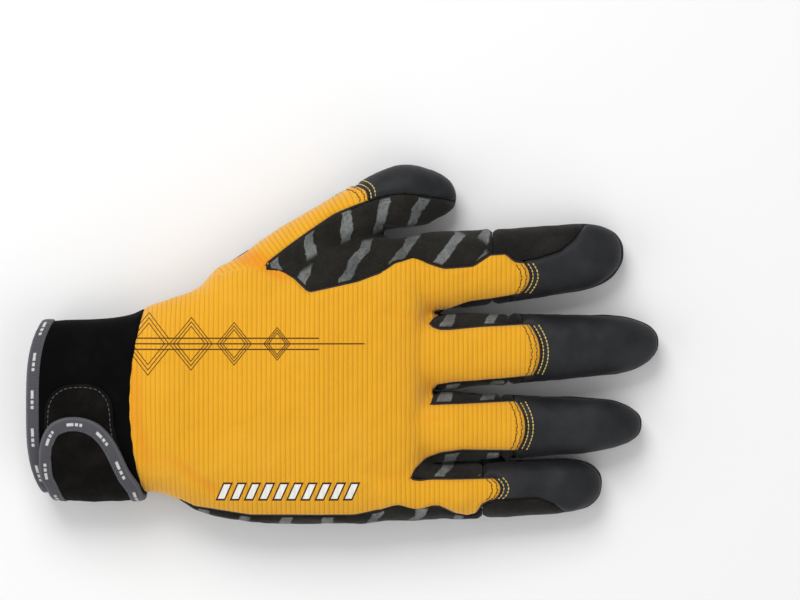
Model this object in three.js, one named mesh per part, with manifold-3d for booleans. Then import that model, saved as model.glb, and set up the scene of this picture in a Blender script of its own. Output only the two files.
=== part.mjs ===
// A right-hand work glove lying palm down: ribbed knit back, grip-striped palm, padded tips and a strapped cuff.
// X runs from the cuff to the fingertips, Y towards the thumb, Z up from the surface that the glove lies on.
import * as THREE from 'three';
import { mergeVertices } from 'three/addons/utils/BufferGeometryUtils.js';
import Module from 'manifold-3d';

const wasm = await Module();
wasm.setup();

// Driving dimensions, mm
const gloveLength = 252;
const handWidth = 117;
const handHeight = 35;
const fingerHeight = 23;
const thumbLength = 118;
const thumbWidth = 26;
const thumbHeight = 25;
const wristWidth = 70;
const cuffLength = 40;
const cuffBow = 5;
const panelWall = 1.6;
const cuffWall = 2.6;
const bindingWidth = 5.2;
const bindingProud = 0.5;
const patchThickness = 1;
const strapThickness = 1.8;
const seamHeight = 10;
const seamGap = 0.3;

// What lies on the cuff: the loop patch and the strap, each with its gap
const strapStack = seamGap + patchThickness + seamGap + strapThickness;
const patchInside = seamGap;
const patchOutside = patchInside + patchThickness;
const strapInside = patchOutside + seamGap;

// How finely the round forms are divided
const handSides = 26;
const fingerSides = 14;
const handSteps = 14;
const cuffSteps = 6;
const fingerSteps = 9;
const thumbSteps = 11;
const edgeStep = 0.13;

// A section is a squared oval whose middle is below half its height, cut flat where it rests
const sectionMiddle = 0.42;
const sectionSag = 0.52;
const smallestHalf = 0.3;

// The hand from the cuff's edge to the webs. along: share of gloveLength; side, half: shares of handWidth;
// height: share of handHeight; square: the oval's power; lift: share of strapStack
const handRows = [
  { along: -0.03, side: -0.209, half: 0.286, height: 0.76, square: 2.3, lift: 1 },
  { along: 0.04, side: -0.21, half: 0.291, height: 0.78, square: 2.3, lift: 1 },
  { along: 0.1, side: -0.211, half: 0.298, height: 0.81, square: 2.3, lift: 1 },
  { along: 0.159, side: -0.2, half: 0.304, height: 0.86, square: 2.3, lift: 1 },
  { along: 0.214, side: -0.178, half: 0.326, height: 0.93, square: 2.4, lift: 1 },
  { along: 0.27, side: -0.189, half: 0.38, height: 0.98, square: 2.5, lift: 0.2 },
  { along: 0.349, side: -0.174, half: 0.43, height: 1, square: 2.6, lift: 0 },
  { along: 0.444, side: -0.15, half: 0.462, height: 0.99, square: 2.7, lift: 0 },
  { along: 0.508, side: -0.13, half: 0.481, height: 0.94, square: 2.9, lift: 0 },
  { along: 0.57, side: -0.12, half: 0.485, height: 0.87, square: 3.1, lift: 0 },
  { along: 0.61, side: -0.114, half: 0.485, height: 0.78, square: 3.2, lift: 0 },
  { along: 0.634, side: -0.114, half: 0.465, height: 0.5, square: 3.2, lift: 0 },
];

// Fingers from inside the hand to the tip. tip: share of gloveLength; the others: shares of handWidth.
// The edge rows bound the knit on the finger's back: at, a share of the finger, and side, of its half width
const fingerRoot = 0.5635;
const fingers = [
  {
    name: 'index',
    tip: 0.943,
    rootSide: 0.2415,
    tipSide: 0.316,
    rootHalf: 0.136,
    tipHalf: 0.108,
    thumbEdge: [
      { at: 0.1, side: 0.3 },
      { at: 0.19, side: 0.19 },
      { at: 0.25, side: 0.05 },
      { at: 0.37, side: 0.05 },
      { at: 0.44, side: 0.32 },
      { at: 0.51, side: 0.31 },
      { at: 0.555, side: 0.06 },
      { at: 0.58, side: 0.02 },
    ],
    littleEdge: [
      { at: 0.1, side: -1.1 },
      { at: 0.185, side: -1.03 },
      { at: 0.24, side: -0.9 },
      { at: 0.57, side: -0.88 },
    ],
    tipThumbEdge: [
      { at: 0.53, side: 0.04 },
      { at: 0.85, side: 0.4 },
      { at: 1, side: 0.8 },
    ],
    tipLittleEdge: [
      { at: 0.53, side: -1.06 },
      { at: 1, side: -1.06 },
    ],
  },
  {
    name: 'middle',
    tip: 1,
    rootSide: -0.0256,
    tipSide: 0.0051,
    rootHalf: 0.1325,
    tipHalf: 0.092,
    thumbEdge: [
      { at: 0.1, side: 1.1 },
      { at: 0.155, side: 1 },
      { at: 0.19, side: 0.68 },
      { at: 0.24, side: 0.62 },
      { at: 0.35, side: 0.68 },
      { at: 0.525, side: 0.74 },
    ],
    littleEdge: [
      { at: 0.1, side: -1.1 },
      { at: 0.17, side: -1.03 },
      { at: 0.22, side: -0.89 },
      { at: 0.54, side: -0.84 },
    ],
    tipThumbEdge: [
      { at: 0.5, side: 1.06 },
      { at: 1, side: 1.06 },
    ],
    tipLittleEdge: [
      { at: 0.5, side: -1.06 },
      { at: 1, side: -1.06 },
    ],
  },
  {
    name: 'ring',
    tip: 0.973,
    rootSide: -0.2855,
    tipSide: -0.2735,
    rootHalf: 0.124,
    tipHalf: 0.08,
    thumbEdge: [
      { at: 0.1, side: 1.1 },
      { at: 0.17, side: 1 },
      { at: 0.205, side: 0.72 },
      { at: 0.3, side: 0.75 },
      { at: 0.51, side: 0.86 },
    ],
    littleEdge: [
      { at: 0.08, side: -1.1 },
      { at: 0.15, side: -0.92 },
      { at: 0.2, side: -0.8 },
      { at: 0.3, side: -0.67 },
      { at: 0.515, side: -0.78 },
    ],
    tipThumbEdge: [
      { at: 0.5, side: 1.06 },
      { at: 1, side: 1.06 },
    ],
    tipLittleEdge: [
      { at: 0.5, side: -1.06 },
      { at: 1, side: -1.06 },
    ],
  },
  {
    name: 'little',
    tip: 0.9095,
    rootSide: -0.5077,
    tipSide: -0.478,
    rootHalf: 0.096,
    tipHalf: 0.094,
    thumbEdge: [
      { at: 0.08, side: 1 },
      { at: 0.16, side: 0.52 },
      { at: 0.3, side: 0.5 },
      { at: 0.5, side: 0.5 },
    ],
    littleEdge: [
      { at: 0.08, side: -0.42 },
      { at: 0.25, side: -0.5 },
      { at: 0.32, side: -0.8 },
      { at: 0.38, side: -0.9 },
      { at: 0.43, side: -0.84 },
      { at: 0.46, side: -0.5 },
      { at: 0.5, side: -0.36 },
    ],
    tipThumbEdge: [
      { at: 0.45, side: 1.06 },
      { at: 1, side: 1.06 },
    ],
    tipLittleEdge: [
      { at: 0.45, side: -0.36 },
      { at: 0.7, side: -0.36 },
      { at: 0.77, side: -0.62 },
      { at: 0.83, side: -1.06 },
      { at: 1, side: -1.06 },
    ],
  },
];
const knitEndBow = 0.032;
const tipPadStart = 0.452;
const fingerTaper = 1.6;
const fingerDrift = 1.4;
const fingerSquareness = 2.35;
const fingerRootRise = 1.2;
const fingerRootHalf = 0.72;
const fingerRootEase = 0.2;
const fingerTipDrop = 0.8;
const tipRoundStart = 0.8;
const tipRoundPower = 2.3;
const tipEndShare = 0.12;
const sideOverhang = 1.06;

// The thumb's middle line from inside the palm to the tip. along, side: shares of thumbLength from the root,
// along X and Y; half: share of thumbWidth; height: share of thumbHeight
const thumbRoot = { along: 0.2937, side: 0.0325 };
const thumbRows = [
  { at: 0, along: 0, side: 0, half: 0.56, height: 1.22 },
  { at: 0.16, along: 0.119, side: 0.146, half: 0.585, height: 1.2 },
  { at: 0.34, along: 0.254, side: 0.261, half: 0.477, height: 1.13 },
  { at: 0.51, along: 0.39, side: 0.356, half: 0.42, height: 1.05 },
  { at: 0.66, along: 0.508, side: 0.424, half: 0.412, height: 1 },
  { at: 0.8, along: 0.627, side: 0.468, half: 0.47, height: 0.98 },
  { at: 0.9, along: 0.729, side: 0.473, half: 0.462, height: 0.92 },
  { at: 1, along: 0.82, side: 0.468, half: 0.43, height: 0.85 },
];
const thumbKnitEdges = {
  outer: [
    { at: 0, side: 1.1 },
    { at: 0.67, side: 1.1 },
  ],
  inner: [
    { at: 0, side: -0.7 },
    { at: 0.2, side: -0.3 },
    { at: 0.3, side: 0.3 },
    { at: 0.45, side: 0.36 },
    { at: 0.58, side: 0.42 },
    { at: 0.7, side: 0.22 },
  ],
};
const thumbTipEdges = {
  outer: [
    { at: 0.64, side: 1.1 },
    { at: 1, side: 1.1 },
  ],
  inner: [
    { at: 0.64, side: 0.25 },
    { at: 0.75, side: 0.16 },
    { at: 0.9, side: -0.05 },
    { at: 1, side: -0.2 },
  ],
};

// Edges of the knit over the back of the hand. along: share of gloveLength; side: share of handWidth
const knitThumbEdge = [
  { along: 0.11, side: 0.22 },
  { along: 0.25, side: 0.22 },
  { along: 0.27, side: 0.183 },
  { along: 0.295, side: 0.203 },
  { along: 0.346, side: 0.241 },
  { along: 0.39, side: 0.251 },
  { along: 0.422, side: 0.227 },
  { along: 0.444, side: 0.18 },
  { along: 0.487, side: 0.2 },
  { along: 0.522, side: 0.217 },
  { along: 0.563, side: 0.251 },
  { along: 0.581, side: 0.279 },
  { along: 0.628, side: 0.289 },
];
const knitLittleEdge = [
  { along: 0.11, side: -0.56 },
  { along: 0.214, side: -0.53 },
  { along: 0.232, side: -0.518 },
  { along: 0.262, side: -0.553 },
  { along: 0.3, side: -0.566 },
  { along: 0.352, side: -0.583 },
  { along: 0.517, side: -0.583 },
  { along: 0.552, side: -0.566 },
  { along: 0.579, side: -0.545 },
  { along: 0.605, side: -0.542 },
];

// The strap on the back of the cuff. along: share of cuffLength; side: share of wristWidth from the cuff's middle
const cuffMiddle = -0.2105;
const strapTab = [
  { along: 0.28, side: -0.8 },
  { along: 0.28, side: -0.54 },
  { along: 0.2, side: -0.48 },
  { along: 0.14, side: -0.38 },
  { along: 0.13, side: -0.257 },
  { along: 0.165, side: -0.165 },
  { along: 0.24, side: -0.097 },
  { along: 0.36, side: -0.06 },
  { along: 0.5, side: -0.05 },
  { along: 0.64, side: -0.065 },
  { along: 0.76, side: -0.105 },
  { along: 0.89, side: -0.194 },
  { along: 1.02, side: -0.343 },
  { along: 1.14, side: -0.48 },
  { along: 1.17, side: -0.54 },
  { along: 1.17, side: -0.8 },
];
const strapUnderside = [
  { along: 0.28, side: -0.8 },
  { along: 0.28, side: -0.4 },
  { along: 0.42, side: 0.26 },
  { along: 1.03, side: 0.26 },
  { along: 1.17, side: -0.4 },
  { along: 1.17, side: -0.8 },
];
const patchTab = [
  { along: 0.33, side: -0.8 },
  { along: 0.33, side: -0.54 },
  { along: 0.2, side: -0.3 },
  { along: 0.19, side: -0.03 },
  { along: 0.24, side: 0.06 },
  { along: 0.36, side: 0.115 },
  { along: 0.5, side: 0.13 },
  { along: 0.64, side: 0.125 },
  { along: 0.75, side: 0.1 },
  { along: 0.85, side: 0.02 },
  { along: 0.89, side: -0.15 },
  { along: 1.12, side: -0.54 },
  { along: 1.12, side: -0.8 },
];
const patchUnderside = [
  { along: 0.33, side: -0.8 },
  { along: 0.33, side: -0.4 },
  { along: 0.45, side: 0.2 },
  { along: 1, side: 0.2 },
  { along: 1.12, side: -0.4 },
  { along: 1.12, side: -0.8 },
];

// Tall enough to cut through everything
const above = handHeight * 2;
const below = -handHeight;

// Places from shares

function alongHand(share) {
  return share * gloveLength;
}

function acrossHand(share) {
  return share * handWidth;
}

// Values between the rows of a table, eased through the rows
function sample(rows, column, at) {
  const last = rows.length - 1;
  let i = 0;
  while (i < last - 1 && rows[i + 1][column] < at) i += 1;
  const before = rows[Math.max(i - 1, 0)];
  const from = rows[i];
  const to = rows[i + 1];
  const after = rows[Math.min(i + 2, last)];
  const share = THREE.MathUtils.clamp((at - from[column]) / (to[column] - from[column]), 0, 1);
  const values = {};
  for (const key of Object.keys(from)) {
    const span = to[column] - from[column];
    const slopeFrom = ((to[key] - before[key]) / (to[column] - before[column])) * span;
    const slopeTo = ((after[key] - from[key]) / (after[column] - from[column])) * span;
    const s2 = share * share;
    const s3 = s2 * share;
    values[key] = (2 * s3 - 3 * s2 + 1) * from[key] + (s3 - 2 * s2 + share) * slopeFrom
      + (3 * s2 - 2 * s3) * to[key] + (s3 - s2) * slopeTo;
  }
  return values;
}

// Solids and geometry

function toSolid(geometry) {
  const bare = geometry.clone();
  bare.deleteAttribute('normal');
  bare.deleteAttribute('uv');
  const merged = mergeVertices(bare);
  return new wasm.Manifold(new wasm.Mesh({
    numProp: 3,
    vertProperties: new Float32Array(merged.attributes.position.array),
    triVerts: new Uint32Array(merged.index.array),
  }));
}

// The largest body of a solid, without crumbs that a cut leaves
function mainBody(solid) {
  const bodies = solid.decompose();
  bodies.sort((a, b) => b.volume() - a.volume());
  return bodies[0];
}

function toGeometry(solid) {
  const mesh = mainBody(solid).getMesh();
  const geometry = new THREE.BufferGeometry();
  geometry.setAttribute('position', new THREE.BufferAttribute(new Float32Array(mesh.vertProperties), 3));
  geometry.setIndex(new THREE.BufferAttribute(new Uint32Array(mesh.triVerts), 1));
  geometry.computeVertexNormals();
  return geometry;
}

function roundPower(value, power) {
  return Math.sign(value) * Math.abs(value) ** power;
}

// One ring of a tube. offset moves it out of, or into, the outer surface
function ring(section, sides, offset) {
  const height = section.height;
  const half = Math.max(section.half + offset, smallestHalf);
  const rise = Math.max(height * (1 - sectionMiddle) + offset, smallestHalf);
  const sag = Math.max(height * sectionSag + offset, smallestHalf);
  const middle = section.lift + section.middleHeight * sectionMiddle;
  const floor = section.lift - offset;
  const points = [];
  for (let i = 0; i < sides; i += 1) {
    const angle = (2 * Math.PI * i) / sides;
    const out = half * roundPower(Math.cos(angle), 2 / section.square);
    const up = roundPower(Math.sin(angle), 2 / section.square);
    const z = middle + up * (up > 0 ? rise : sag);
    const place = [
      section.x + section.outX * out,
      section.y + section.outY * out,
      Math.max(z, floor),
    ];
    points.push(place);
  }
  return points;
}

// A closed tube through rings, with a fan over each end
function tube(sections, sides, offset) {
  const rings = sections.map((section) => ring(section, sides, offset));
  const positions = rings.flat(2);
  const faces = [];
  for (let r = 0; r < rings.length - 1; r += 1) {
    for (let i = 0; i < sides; i += 1) {
      const a = r * sides + i;
      const b = r * sides + ((i + 1) % sides);
      faces.push(a, b, b + sides, a, b + sides, a + sides);
    }
  }
  for (const end of [0, rings.length - 1]) {
    const centre = positions.length / 3;
    for (const axis of [0, 1, 2]) {
      const sum = rings[end].reduce((total, point) => total + point[axis], 0);
      positions.push(sum / sides);
    }
    for (let i = 0; i < sides; i += 1) {
      const a = end * sides + i;
      const b = end * sides + ((i + 1) % sides);
      faces.push(...(end === 0 ? [centre, b, a] : [centre, a, b]));
    }
  }
  const geometry = new THREE.BufferGeometry();
  geometry.setAttribute('position', new THREE.BufferAttribute(new Float32Array(positions), 3));
  geometry.setIndex(faces);
  return toSolid(geometry);
}

// An upright block with the outline given in plan
function prism(outline, bottom, top) {
  const shape = new THREE.Shape(outline);
  const geometry = new THREE.ExtrudeGeometry(shape, { depth: top - bottom, bevelEnabled: false });
  geometry.translate(0, 0, bottom);
  return toSolid(geometry);
}

// An outline moved outwards by a distance
function grow(outline, distance) {
  const clockwise = THREE.ShapeUtils.isClockWise(outline);
  const turn = clockwise ? -1 : 1;
  return outline.map((point, i) => {
    const before = outline[(i + outline.length - 1) % outline.length];
    const after = outline[(i + 1) % outline.length];
    const into = point.clone().sub(before).normalize();
    const away = after.clone().sub(point).normalize();
    const normal = new THREE.Vector2(into.y + away.y, -into.x - away.x).normalize();
    const sharpness = Math.max(normal.x * into.y - normal.y * into.x, 0.4);
    return point.clone().addScaledVector(normal, (turn * distance) / sharpness);
  });
}

// The hand and the cuff

function handSection(along) {
  const row = sample(handRows, 'along', along);
  return {
    x: alongHand(along),
    y: acrossHand(row.side),
    outX: 0,
    outY: 1,
    half: acrossHand(row.half),
    height: row.height * handHeight,
    middleHeight: row.height * handHeight,
    square: row.square,
    lift: Math.max(row.lift, 0) * strapStack,
  };
}

function handTube(from, to, steps, offset) {
  const sections = [];
  for (let i = 0; i <= steps; i += 1) {
    sections.push(handSection(THREE.MathUtils.lerp(from, to, i / steps)));
  }
  sections[steps].x += Math.min(offset, 0);
  return tube(sections, handSides, offset);
}

// The line across the wrist or the cuff's edge, bowed towards the cuff's opening in the middle
function bowedLine(x) {
  const section = handSection(x / gloveLength);
  const points = [];
  for (const share of [-3, -1, -0.6, -0.2, 0.2, 0.6, 1, 3]) {
    const bow = cuffBow * Math.min(share * share, 1);
    points.push(new THREE.Vector2(x + bow, section.y + share * section.half));
  }
  return points;
}

function bowedZone(from, to) {
  return prism([...bowedLine(from), ...bowedLine(to).reverse()], below, above);
}

// Fingers and thumb

// How far a tube has closed towards its round tip
function tipRounding(at) {
  const into = Math.max(at - tipRoundStart, 0) / (1 - tipRoundStart);
  const open = Math.max(1 - into ** tipRoundPower, 0) ** (1 / tipRoundPower);
  return Math.max(open, tipEndShare);
}

function fingerSection(finger, at) {
  const fullHalf = acrossHand(THREE.MathUtils.lerp(finger.rootHalf, finger.tipHalf, at ** fingerTaper));
  const height = fingerHeight * THREE.MathUtils.lerp(fingerRootRise, fingerTipDrop, at);
  const rounding = tipRounding(at);
  const opening = THREE.MathUtils.smoothstep(at, 0, fingerRootEase);
  return {
    x: alongHand(THREE.MathUtils.lerp(fingerRoot, finger.tip, at)),
    y: acrossHand(THREE.MathUtils.lerp(finger.rootSide, finger.tipSide, at ** fingerDrift)),
    outX: 0,
    outY: 1,
    half: fullHalf * rounding * THREE.MathUtils.lerp(fingerRootHalf, 1, opening),
    fullHalf,
    height: height * rounding,
    middleHeight: height,
    square: fingerSquareness,
    lift: 0,
  };
}

const thumbCurve = new THREE.CatmullRomCurve3(thumbRows.map((row) => new THREE.Vector3(
  alongHand(thumbRoot.along) + row.along * thumbLength,
  acrossHand(thumbRoot.side) + row.side * thumbLength,
  0,
)));

function thumbSection(at) {
  const row = sample(thumbRows, 'at', at);
  const place = thumbCurve.getPointAt(at);
  const heading = thumbCurve.getTangentAt(at);
  const rounding = tipRounding(at);
  return {
    x: place.x,
    y: place.y,
    outX: -heading.y,
    outY: heading.x,
    half: row.half * thumbWidth * rounding,
    fullHalf: row.half * thumbWidth,
    height: row.height * thumbHeight * rounding,
    middleHeight: row.height * thumbHeight,
    square: fingerSquareness,
    lift: 0,
  };
}

// The shares along a digit where its rings lie, closer together round the tip
function ringPlaces(steps) {
  const places = [];
  for (let i = 0; i <= steps; i += 1) {
    const share = i / steps;
    places.push(Math.sin((share * Math.PI) / 2) ** 1.15);
  }
  return places;
}

function digitTube(sectionAt, steps, offset) {
  const sections = ringPlaces(steps).map((at) => sectionAt(at));
  const tip = sections[steps];
  const root = sections[steps - 1];
  const reach = Math.hypot(tip.x - root.x, tip.y - root.y);
  const shortening = Math.min(offset, 0);
  tip.x += ((tip.x - root.x) / reach) * shortening;
  tip.y += ((tip.y - root.y) / reach) * shortening;
  return tube(sections, fingerSides, offset);
}

// An edge's rows with more between them where they lie far apart
function closely(edge) {
  const rows = [edge[0]];
  for (let i = 1; i < edge.length; i += 1) {
    const count = Math.ceil((edge[i].at - edge[i - 1].at) / edgeStep);
    for (let k = 1; k <= count; k += 1) {
      rows.push({
        at: THREE.MathUtils.lerp(edge[i - 1].at, edge[i].at, k / count),
        side: THREE.MathUtils.lerp(edge[i - 1].side, edge[i].side, k / count),
      });
    }
  }
  return rows;
}

// A strip of plan between two edges of a digit, with a bowed end
function strip(sectionAt, outerEdge, innerEdge, endBow) {
  const place = (at, side) => {
    const section = sectionAt(Math.min(at, 1));
    const past = Math.max(at - 1, 0) * gloveLength;
    return new THREE.Vector2(
      section.x + section.outX * side * section.fullHalf + section.outY * past,
      section.y + section.outY * side * section.fullHalf - section.outX * past,
    );
  };
  const last = (edge) => edge[edge.length - 1];
  const outline = closely(outerEdge).map((row) => place(row.at, row.side));
  for (const share of [0.25, 0.5, 0.75]) {
    const at = THREE.MathUtils.lerp(last(outerEdge).at, last(innerEdge).at, share);
    const side = THREE.MathUtils.lerp(last(outerEdge).side, last(innerEdge).side, share);
    outline.push(place(at + endBow * 4 * share * (1 - share), side));
  }
  for (const row of closely(innerEdge).reverse()) outline.push(place(row.at, row.side));
  return outline;
}

// Zones in plan that give each panel its share of the shell

const edgePoint = (row) => new THREE.Vector2(alongHand(row.along), acrossHand(row.side));

function knitOutlines() {
  const hand = [...knitThumbEdge.map(edgePoint), ...knitLittleEdge.map(edgePoint).reverse()];
  const strips = fingers.map((finger) => strip(
    (at) => fingerSection(finger, at),
    finger.thumbEdge,
    finger.littleEdge,
    knitEndBow,
  ));
  return [hand, ...strips];
}

function zoneOf(outlines, bottom, spread) {
  return outlines
    .map((outline) => prism(grow(outline, spread), bottom - spread, above))
    .reduce((all, block) => all.add(block));
}

function tipOutline(finger) {
  const last = { at: 1.03 };
  const outer = [...finger.tipThumbEdge, { ...last, side: finger.tipThumbEdge.at(-1).side }];
  const inner = [...finger.tipLittleEdge, { ...last, side: finger.tipLittleEdge.at(-1).side }];
  return strip((at) => fingerSection(finger, at), outer, inner, 0);
}

function thumbTipOutline() {
  const outer = [...thumbTipEdges.outer, { at: 1.03, side: thumbTipEdges.outer.at(-1).side }];
  const inner = [...thumbTipEdges.inner, { at: 1.03, side: thumbTipEdges.inner.at(-1).side }];
  return strip(thumbSection, outer, inner, 0);
}

function padOutline(finger) {
  const start = { at: tipPadStart, side: sideOverhang };
  const end = { at: 1.03, side: sideOverhang };
  const mirrored = (row) => ({ at: row.at, side: -row.side });
  return strip((at) => fingerSection(finger, at), [start, end], [mirrored(start), mirrored(end)], 0);
}

// The strap and its patch

function cuffPoint(row) {
  return new THREE.Vector2(row.along * cuffLength, acrossHand(cuffMiddle) + row.side * wristWidth);
}

function wrapZone(backRows, undersideRows, spread) {
  const split = handHeight * 0.35;
  const back = prism(grow(backRows.map(cuffPoint), spread), split, above);
  const underside = prism(grow(undersideRows.map(cuffPoint), spread), below, split);
  return back.add(underside);
}

// The same outline without the binding's width, and run on past the strap's sewn end
function insideBinding(backRows, undersideRows, width) {
  const stretched = undersideRows.map((row) => ({ ...row, side: row.side > 0 ? row.side + 0.3 : row.side }));
  return wrapZone(backRows, stretched, -width);
}

const cuffBandEnd = 0.214;

function cuffBand(inside, outside) {
  const from = handRows[0].along;
  const to = cuffBandEnd;
  return handTube(from, to, cuffSteps, outside).subtract(handTube(from, to, cuffSteps, inside));
}

// The whole shell

const digits = [...fingers.map((finger) => (at) => fingerSection(finger, at)), thumbSection];

const formStart = 0.08;

function gloveForm(offset) {
  let form = handTube(formStart, handRows.at(-1).along, handSteps, offset);
  digits.forEach((sectionAt, i) => {
    const steps = i < fingers.length ? fingerSteps : thumbSteps;
    form = form.add(digitTube(sectionAt, steps, offset));
  });
  return form;
}

const wristZone = bowedZone(cuffLength + seamGap, gloveLength * 1.2);
let shell = gloveForm(0).subtract(gloveForm(-panelWall)).intersect(wristZone);

// Takes a panel out of what is left of the shell, with a gap round it
function takePanel(outlines, bottom) {
  const panel = shell.intersect(zoneOf(outlines, bottom, 0));
  shell = shell.subtract(zoneOf(outlines, bottom, seamGap));
  return panel;
}

const glove = new THREE.Group();

function addPiece(name, solid, look) {
  const mesh = new THREE.Mesh(toGeometry(solid), new THREE.MeshStandardMaterial(look));
  mesh.name = name;
  glove.add(mesh);
}

const knit = { color: 0xecb02d, roughness: 0.85, metalness: 0 };
const palmLeather = { color: 0x201f1b, roughness: 0.8, metalness: 0 };
const tipFabric = { color: 0x303135, roughness: 0.6, metalness: 0 };
const suede = { color: 0x1b1a18, roughness: 0.95, metalness: 0 };
const neoprene = { color: 0x0a0a0b, roughness: 0.75, metalness: 0 };
const tape = { color: 0x4a4b50, roughness: 0.8, metalness: 0 };

addPiece('back_panel', takePanel(knitOutlines(), seamHeight), knit);
addPiece(
  'thumb_back',
  takePanel([strip(thumbSection, thumbKnitEdges.outer, thumbKnitEdges.inner, 0.02)], seamHeight),
  knit,
);
for (const finger of fingers) {
  addPiece(`fingertip_${finger.name}`, takePanel([tipOutline(finger)], seamHeight), tipFabric);
}
addPiece('fingertip_thumb', takePanel([thumbTipOutline()], seamHeight), tipFabric);
for (const finger of fingers) {
  addPiece(`tip_pad_${finger.name}`, takePanel([padOutline(finger)], below), suede);
}
addPiece('palm_panel', shell, palmLeather);

const cuffTube = cuffBand(-cuffWall, 0);
addPiece('cuff', cuffTube.intersect(bowedZone(bindingWidth + seamGap, cuffLength)), neoprene);
addPiece(
  'cuff_binding',
  cuffBand(-cuffWall - bindingProud, bindingProud).intersect(bowedZone(0, bindingWidth)),
  tape,
);

const strapBand = cuffBand(strapInside, strapStack);
addPiece(
  'strap',
  strapBand.intersect(insideBinding(strapTab, strapUnderside, bindingWidth)
    .intersect(wrapZone(strapTab, strapUnderside, 0))),
  suede,
);
addPiece(
  'strap_binding',
  strapBand.intersect(wrapZone(strapTab, strapUnderside, 0))
    .subtract(insideBinding(strapTab, strapUnderside, bindingWidth - seamGap)),
  tape,
);
addPiece('loop_patch', cuffBand(patchInside, patchOutside).intersect(wrapZone(patchTab, patchUnderside, 0)), neoprene);

// The origin is the middle of the glove's box, on the surface that it lies on
const box = new THREE.Box3().setFromObject(glove);
const centre = box.getCenter(new THREE.Vector3());
glove.position.set(-centre.x, -centre.y, -box.min.z);

export default glove;
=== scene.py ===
import math
from functools import partial

import bmesh
import bpy
import numpy as np
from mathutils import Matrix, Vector
from mathutils.bvhtree import BVHTree
from mathutils.kdtree import KDTree


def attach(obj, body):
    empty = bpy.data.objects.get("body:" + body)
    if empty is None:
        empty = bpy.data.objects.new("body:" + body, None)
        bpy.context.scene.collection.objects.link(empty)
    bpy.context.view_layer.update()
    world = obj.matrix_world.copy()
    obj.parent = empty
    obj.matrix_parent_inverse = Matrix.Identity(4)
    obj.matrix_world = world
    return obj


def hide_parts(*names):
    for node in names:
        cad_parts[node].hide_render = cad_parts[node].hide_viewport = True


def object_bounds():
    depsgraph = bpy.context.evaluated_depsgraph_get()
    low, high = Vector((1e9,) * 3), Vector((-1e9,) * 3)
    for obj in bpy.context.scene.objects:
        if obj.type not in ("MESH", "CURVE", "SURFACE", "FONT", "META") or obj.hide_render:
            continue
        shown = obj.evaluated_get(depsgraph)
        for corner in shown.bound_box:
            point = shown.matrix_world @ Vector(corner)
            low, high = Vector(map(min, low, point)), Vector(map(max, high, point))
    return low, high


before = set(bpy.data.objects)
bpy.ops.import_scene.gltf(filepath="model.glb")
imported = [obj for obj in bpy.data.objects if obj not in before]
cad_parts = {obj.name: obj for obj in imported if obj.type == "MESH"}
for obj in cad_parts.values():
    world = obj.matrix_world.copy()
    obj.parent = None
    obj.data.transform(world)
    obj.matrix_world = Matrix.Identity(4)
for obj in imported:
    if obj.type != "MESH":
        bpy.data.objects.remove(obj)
cad_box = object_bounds()

# Sizes that the part's source names too, mm
GLOVE_LENGTH = 252.0
HAND_WIDTH = 117.0
HAND_HEIGHT = 35.0
FINGER_HEIGHT = 23.0
THUMB_LENGTH = 118.0
THUMB_WIDTH = 26.0
THUMB_HEIGHT = 25.0
WRIST_WIDTH = 70.0
CUFF_LENGTH = 40.0
CUFF_BOW = 5.0
BINDING_WIDTH = 5.2
STRAP_STACK = 3.4
SEAM_HEIGHT = 10.0
SEAM_GAP = 0.3
SECTION_MIDDLE = 0.42
SECTION_SAG = 0.52

# How the cloth is made, mm
KNIT_WALL = 1.0
PALM_WALL = 1.1
RIB_PITCH = 1.9
RIB_HEIGHT = 0.22
RIB_STEP = RIB_PITCH / 6
SKIN_VOXEL = 1.1
HAND_BLEND = 4.0
THUMB_BLEND = 5.0
FINGER_BLEND = 0.8

# The hand. Columns: along (share of length), side, half (of width), height, oval power, lift (of the strap)
HAND_ROWS = [
    (-0.03, -0.209, 0.286, 0.76, 2.3, 1),
    (0.04, -0.21, 0.291, 0.78, 2.3, 1),
    (0.1, -0.211, 0.298, 0.81, 2.3, 1),
    (0.159, -0.2, 0.304, 0.86, 2.3, 1),
    (0.214, -0.178, 0.326, 0.93, 2.4, 1),
    (0.27, -0.189, 0.38, 0.98, 2.5, 0.2),
    (0.349, -0.174, 0.43, 1, 2.6, 0),
    (0.444, -0.15, 0.462, 0.99, 2.7, 0),
    (0.508, -0.13, 0.481, 0.94, 2.9, 0),
    (0.57, -0.12, 0.485, 0.87, 3.1, 0),
    (0.61, -0.114, 0.485, 0.78, 3.2, 0),
    (0.634, -0.114, 0.465, 0.5, 3.2, 0),
]

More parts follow.
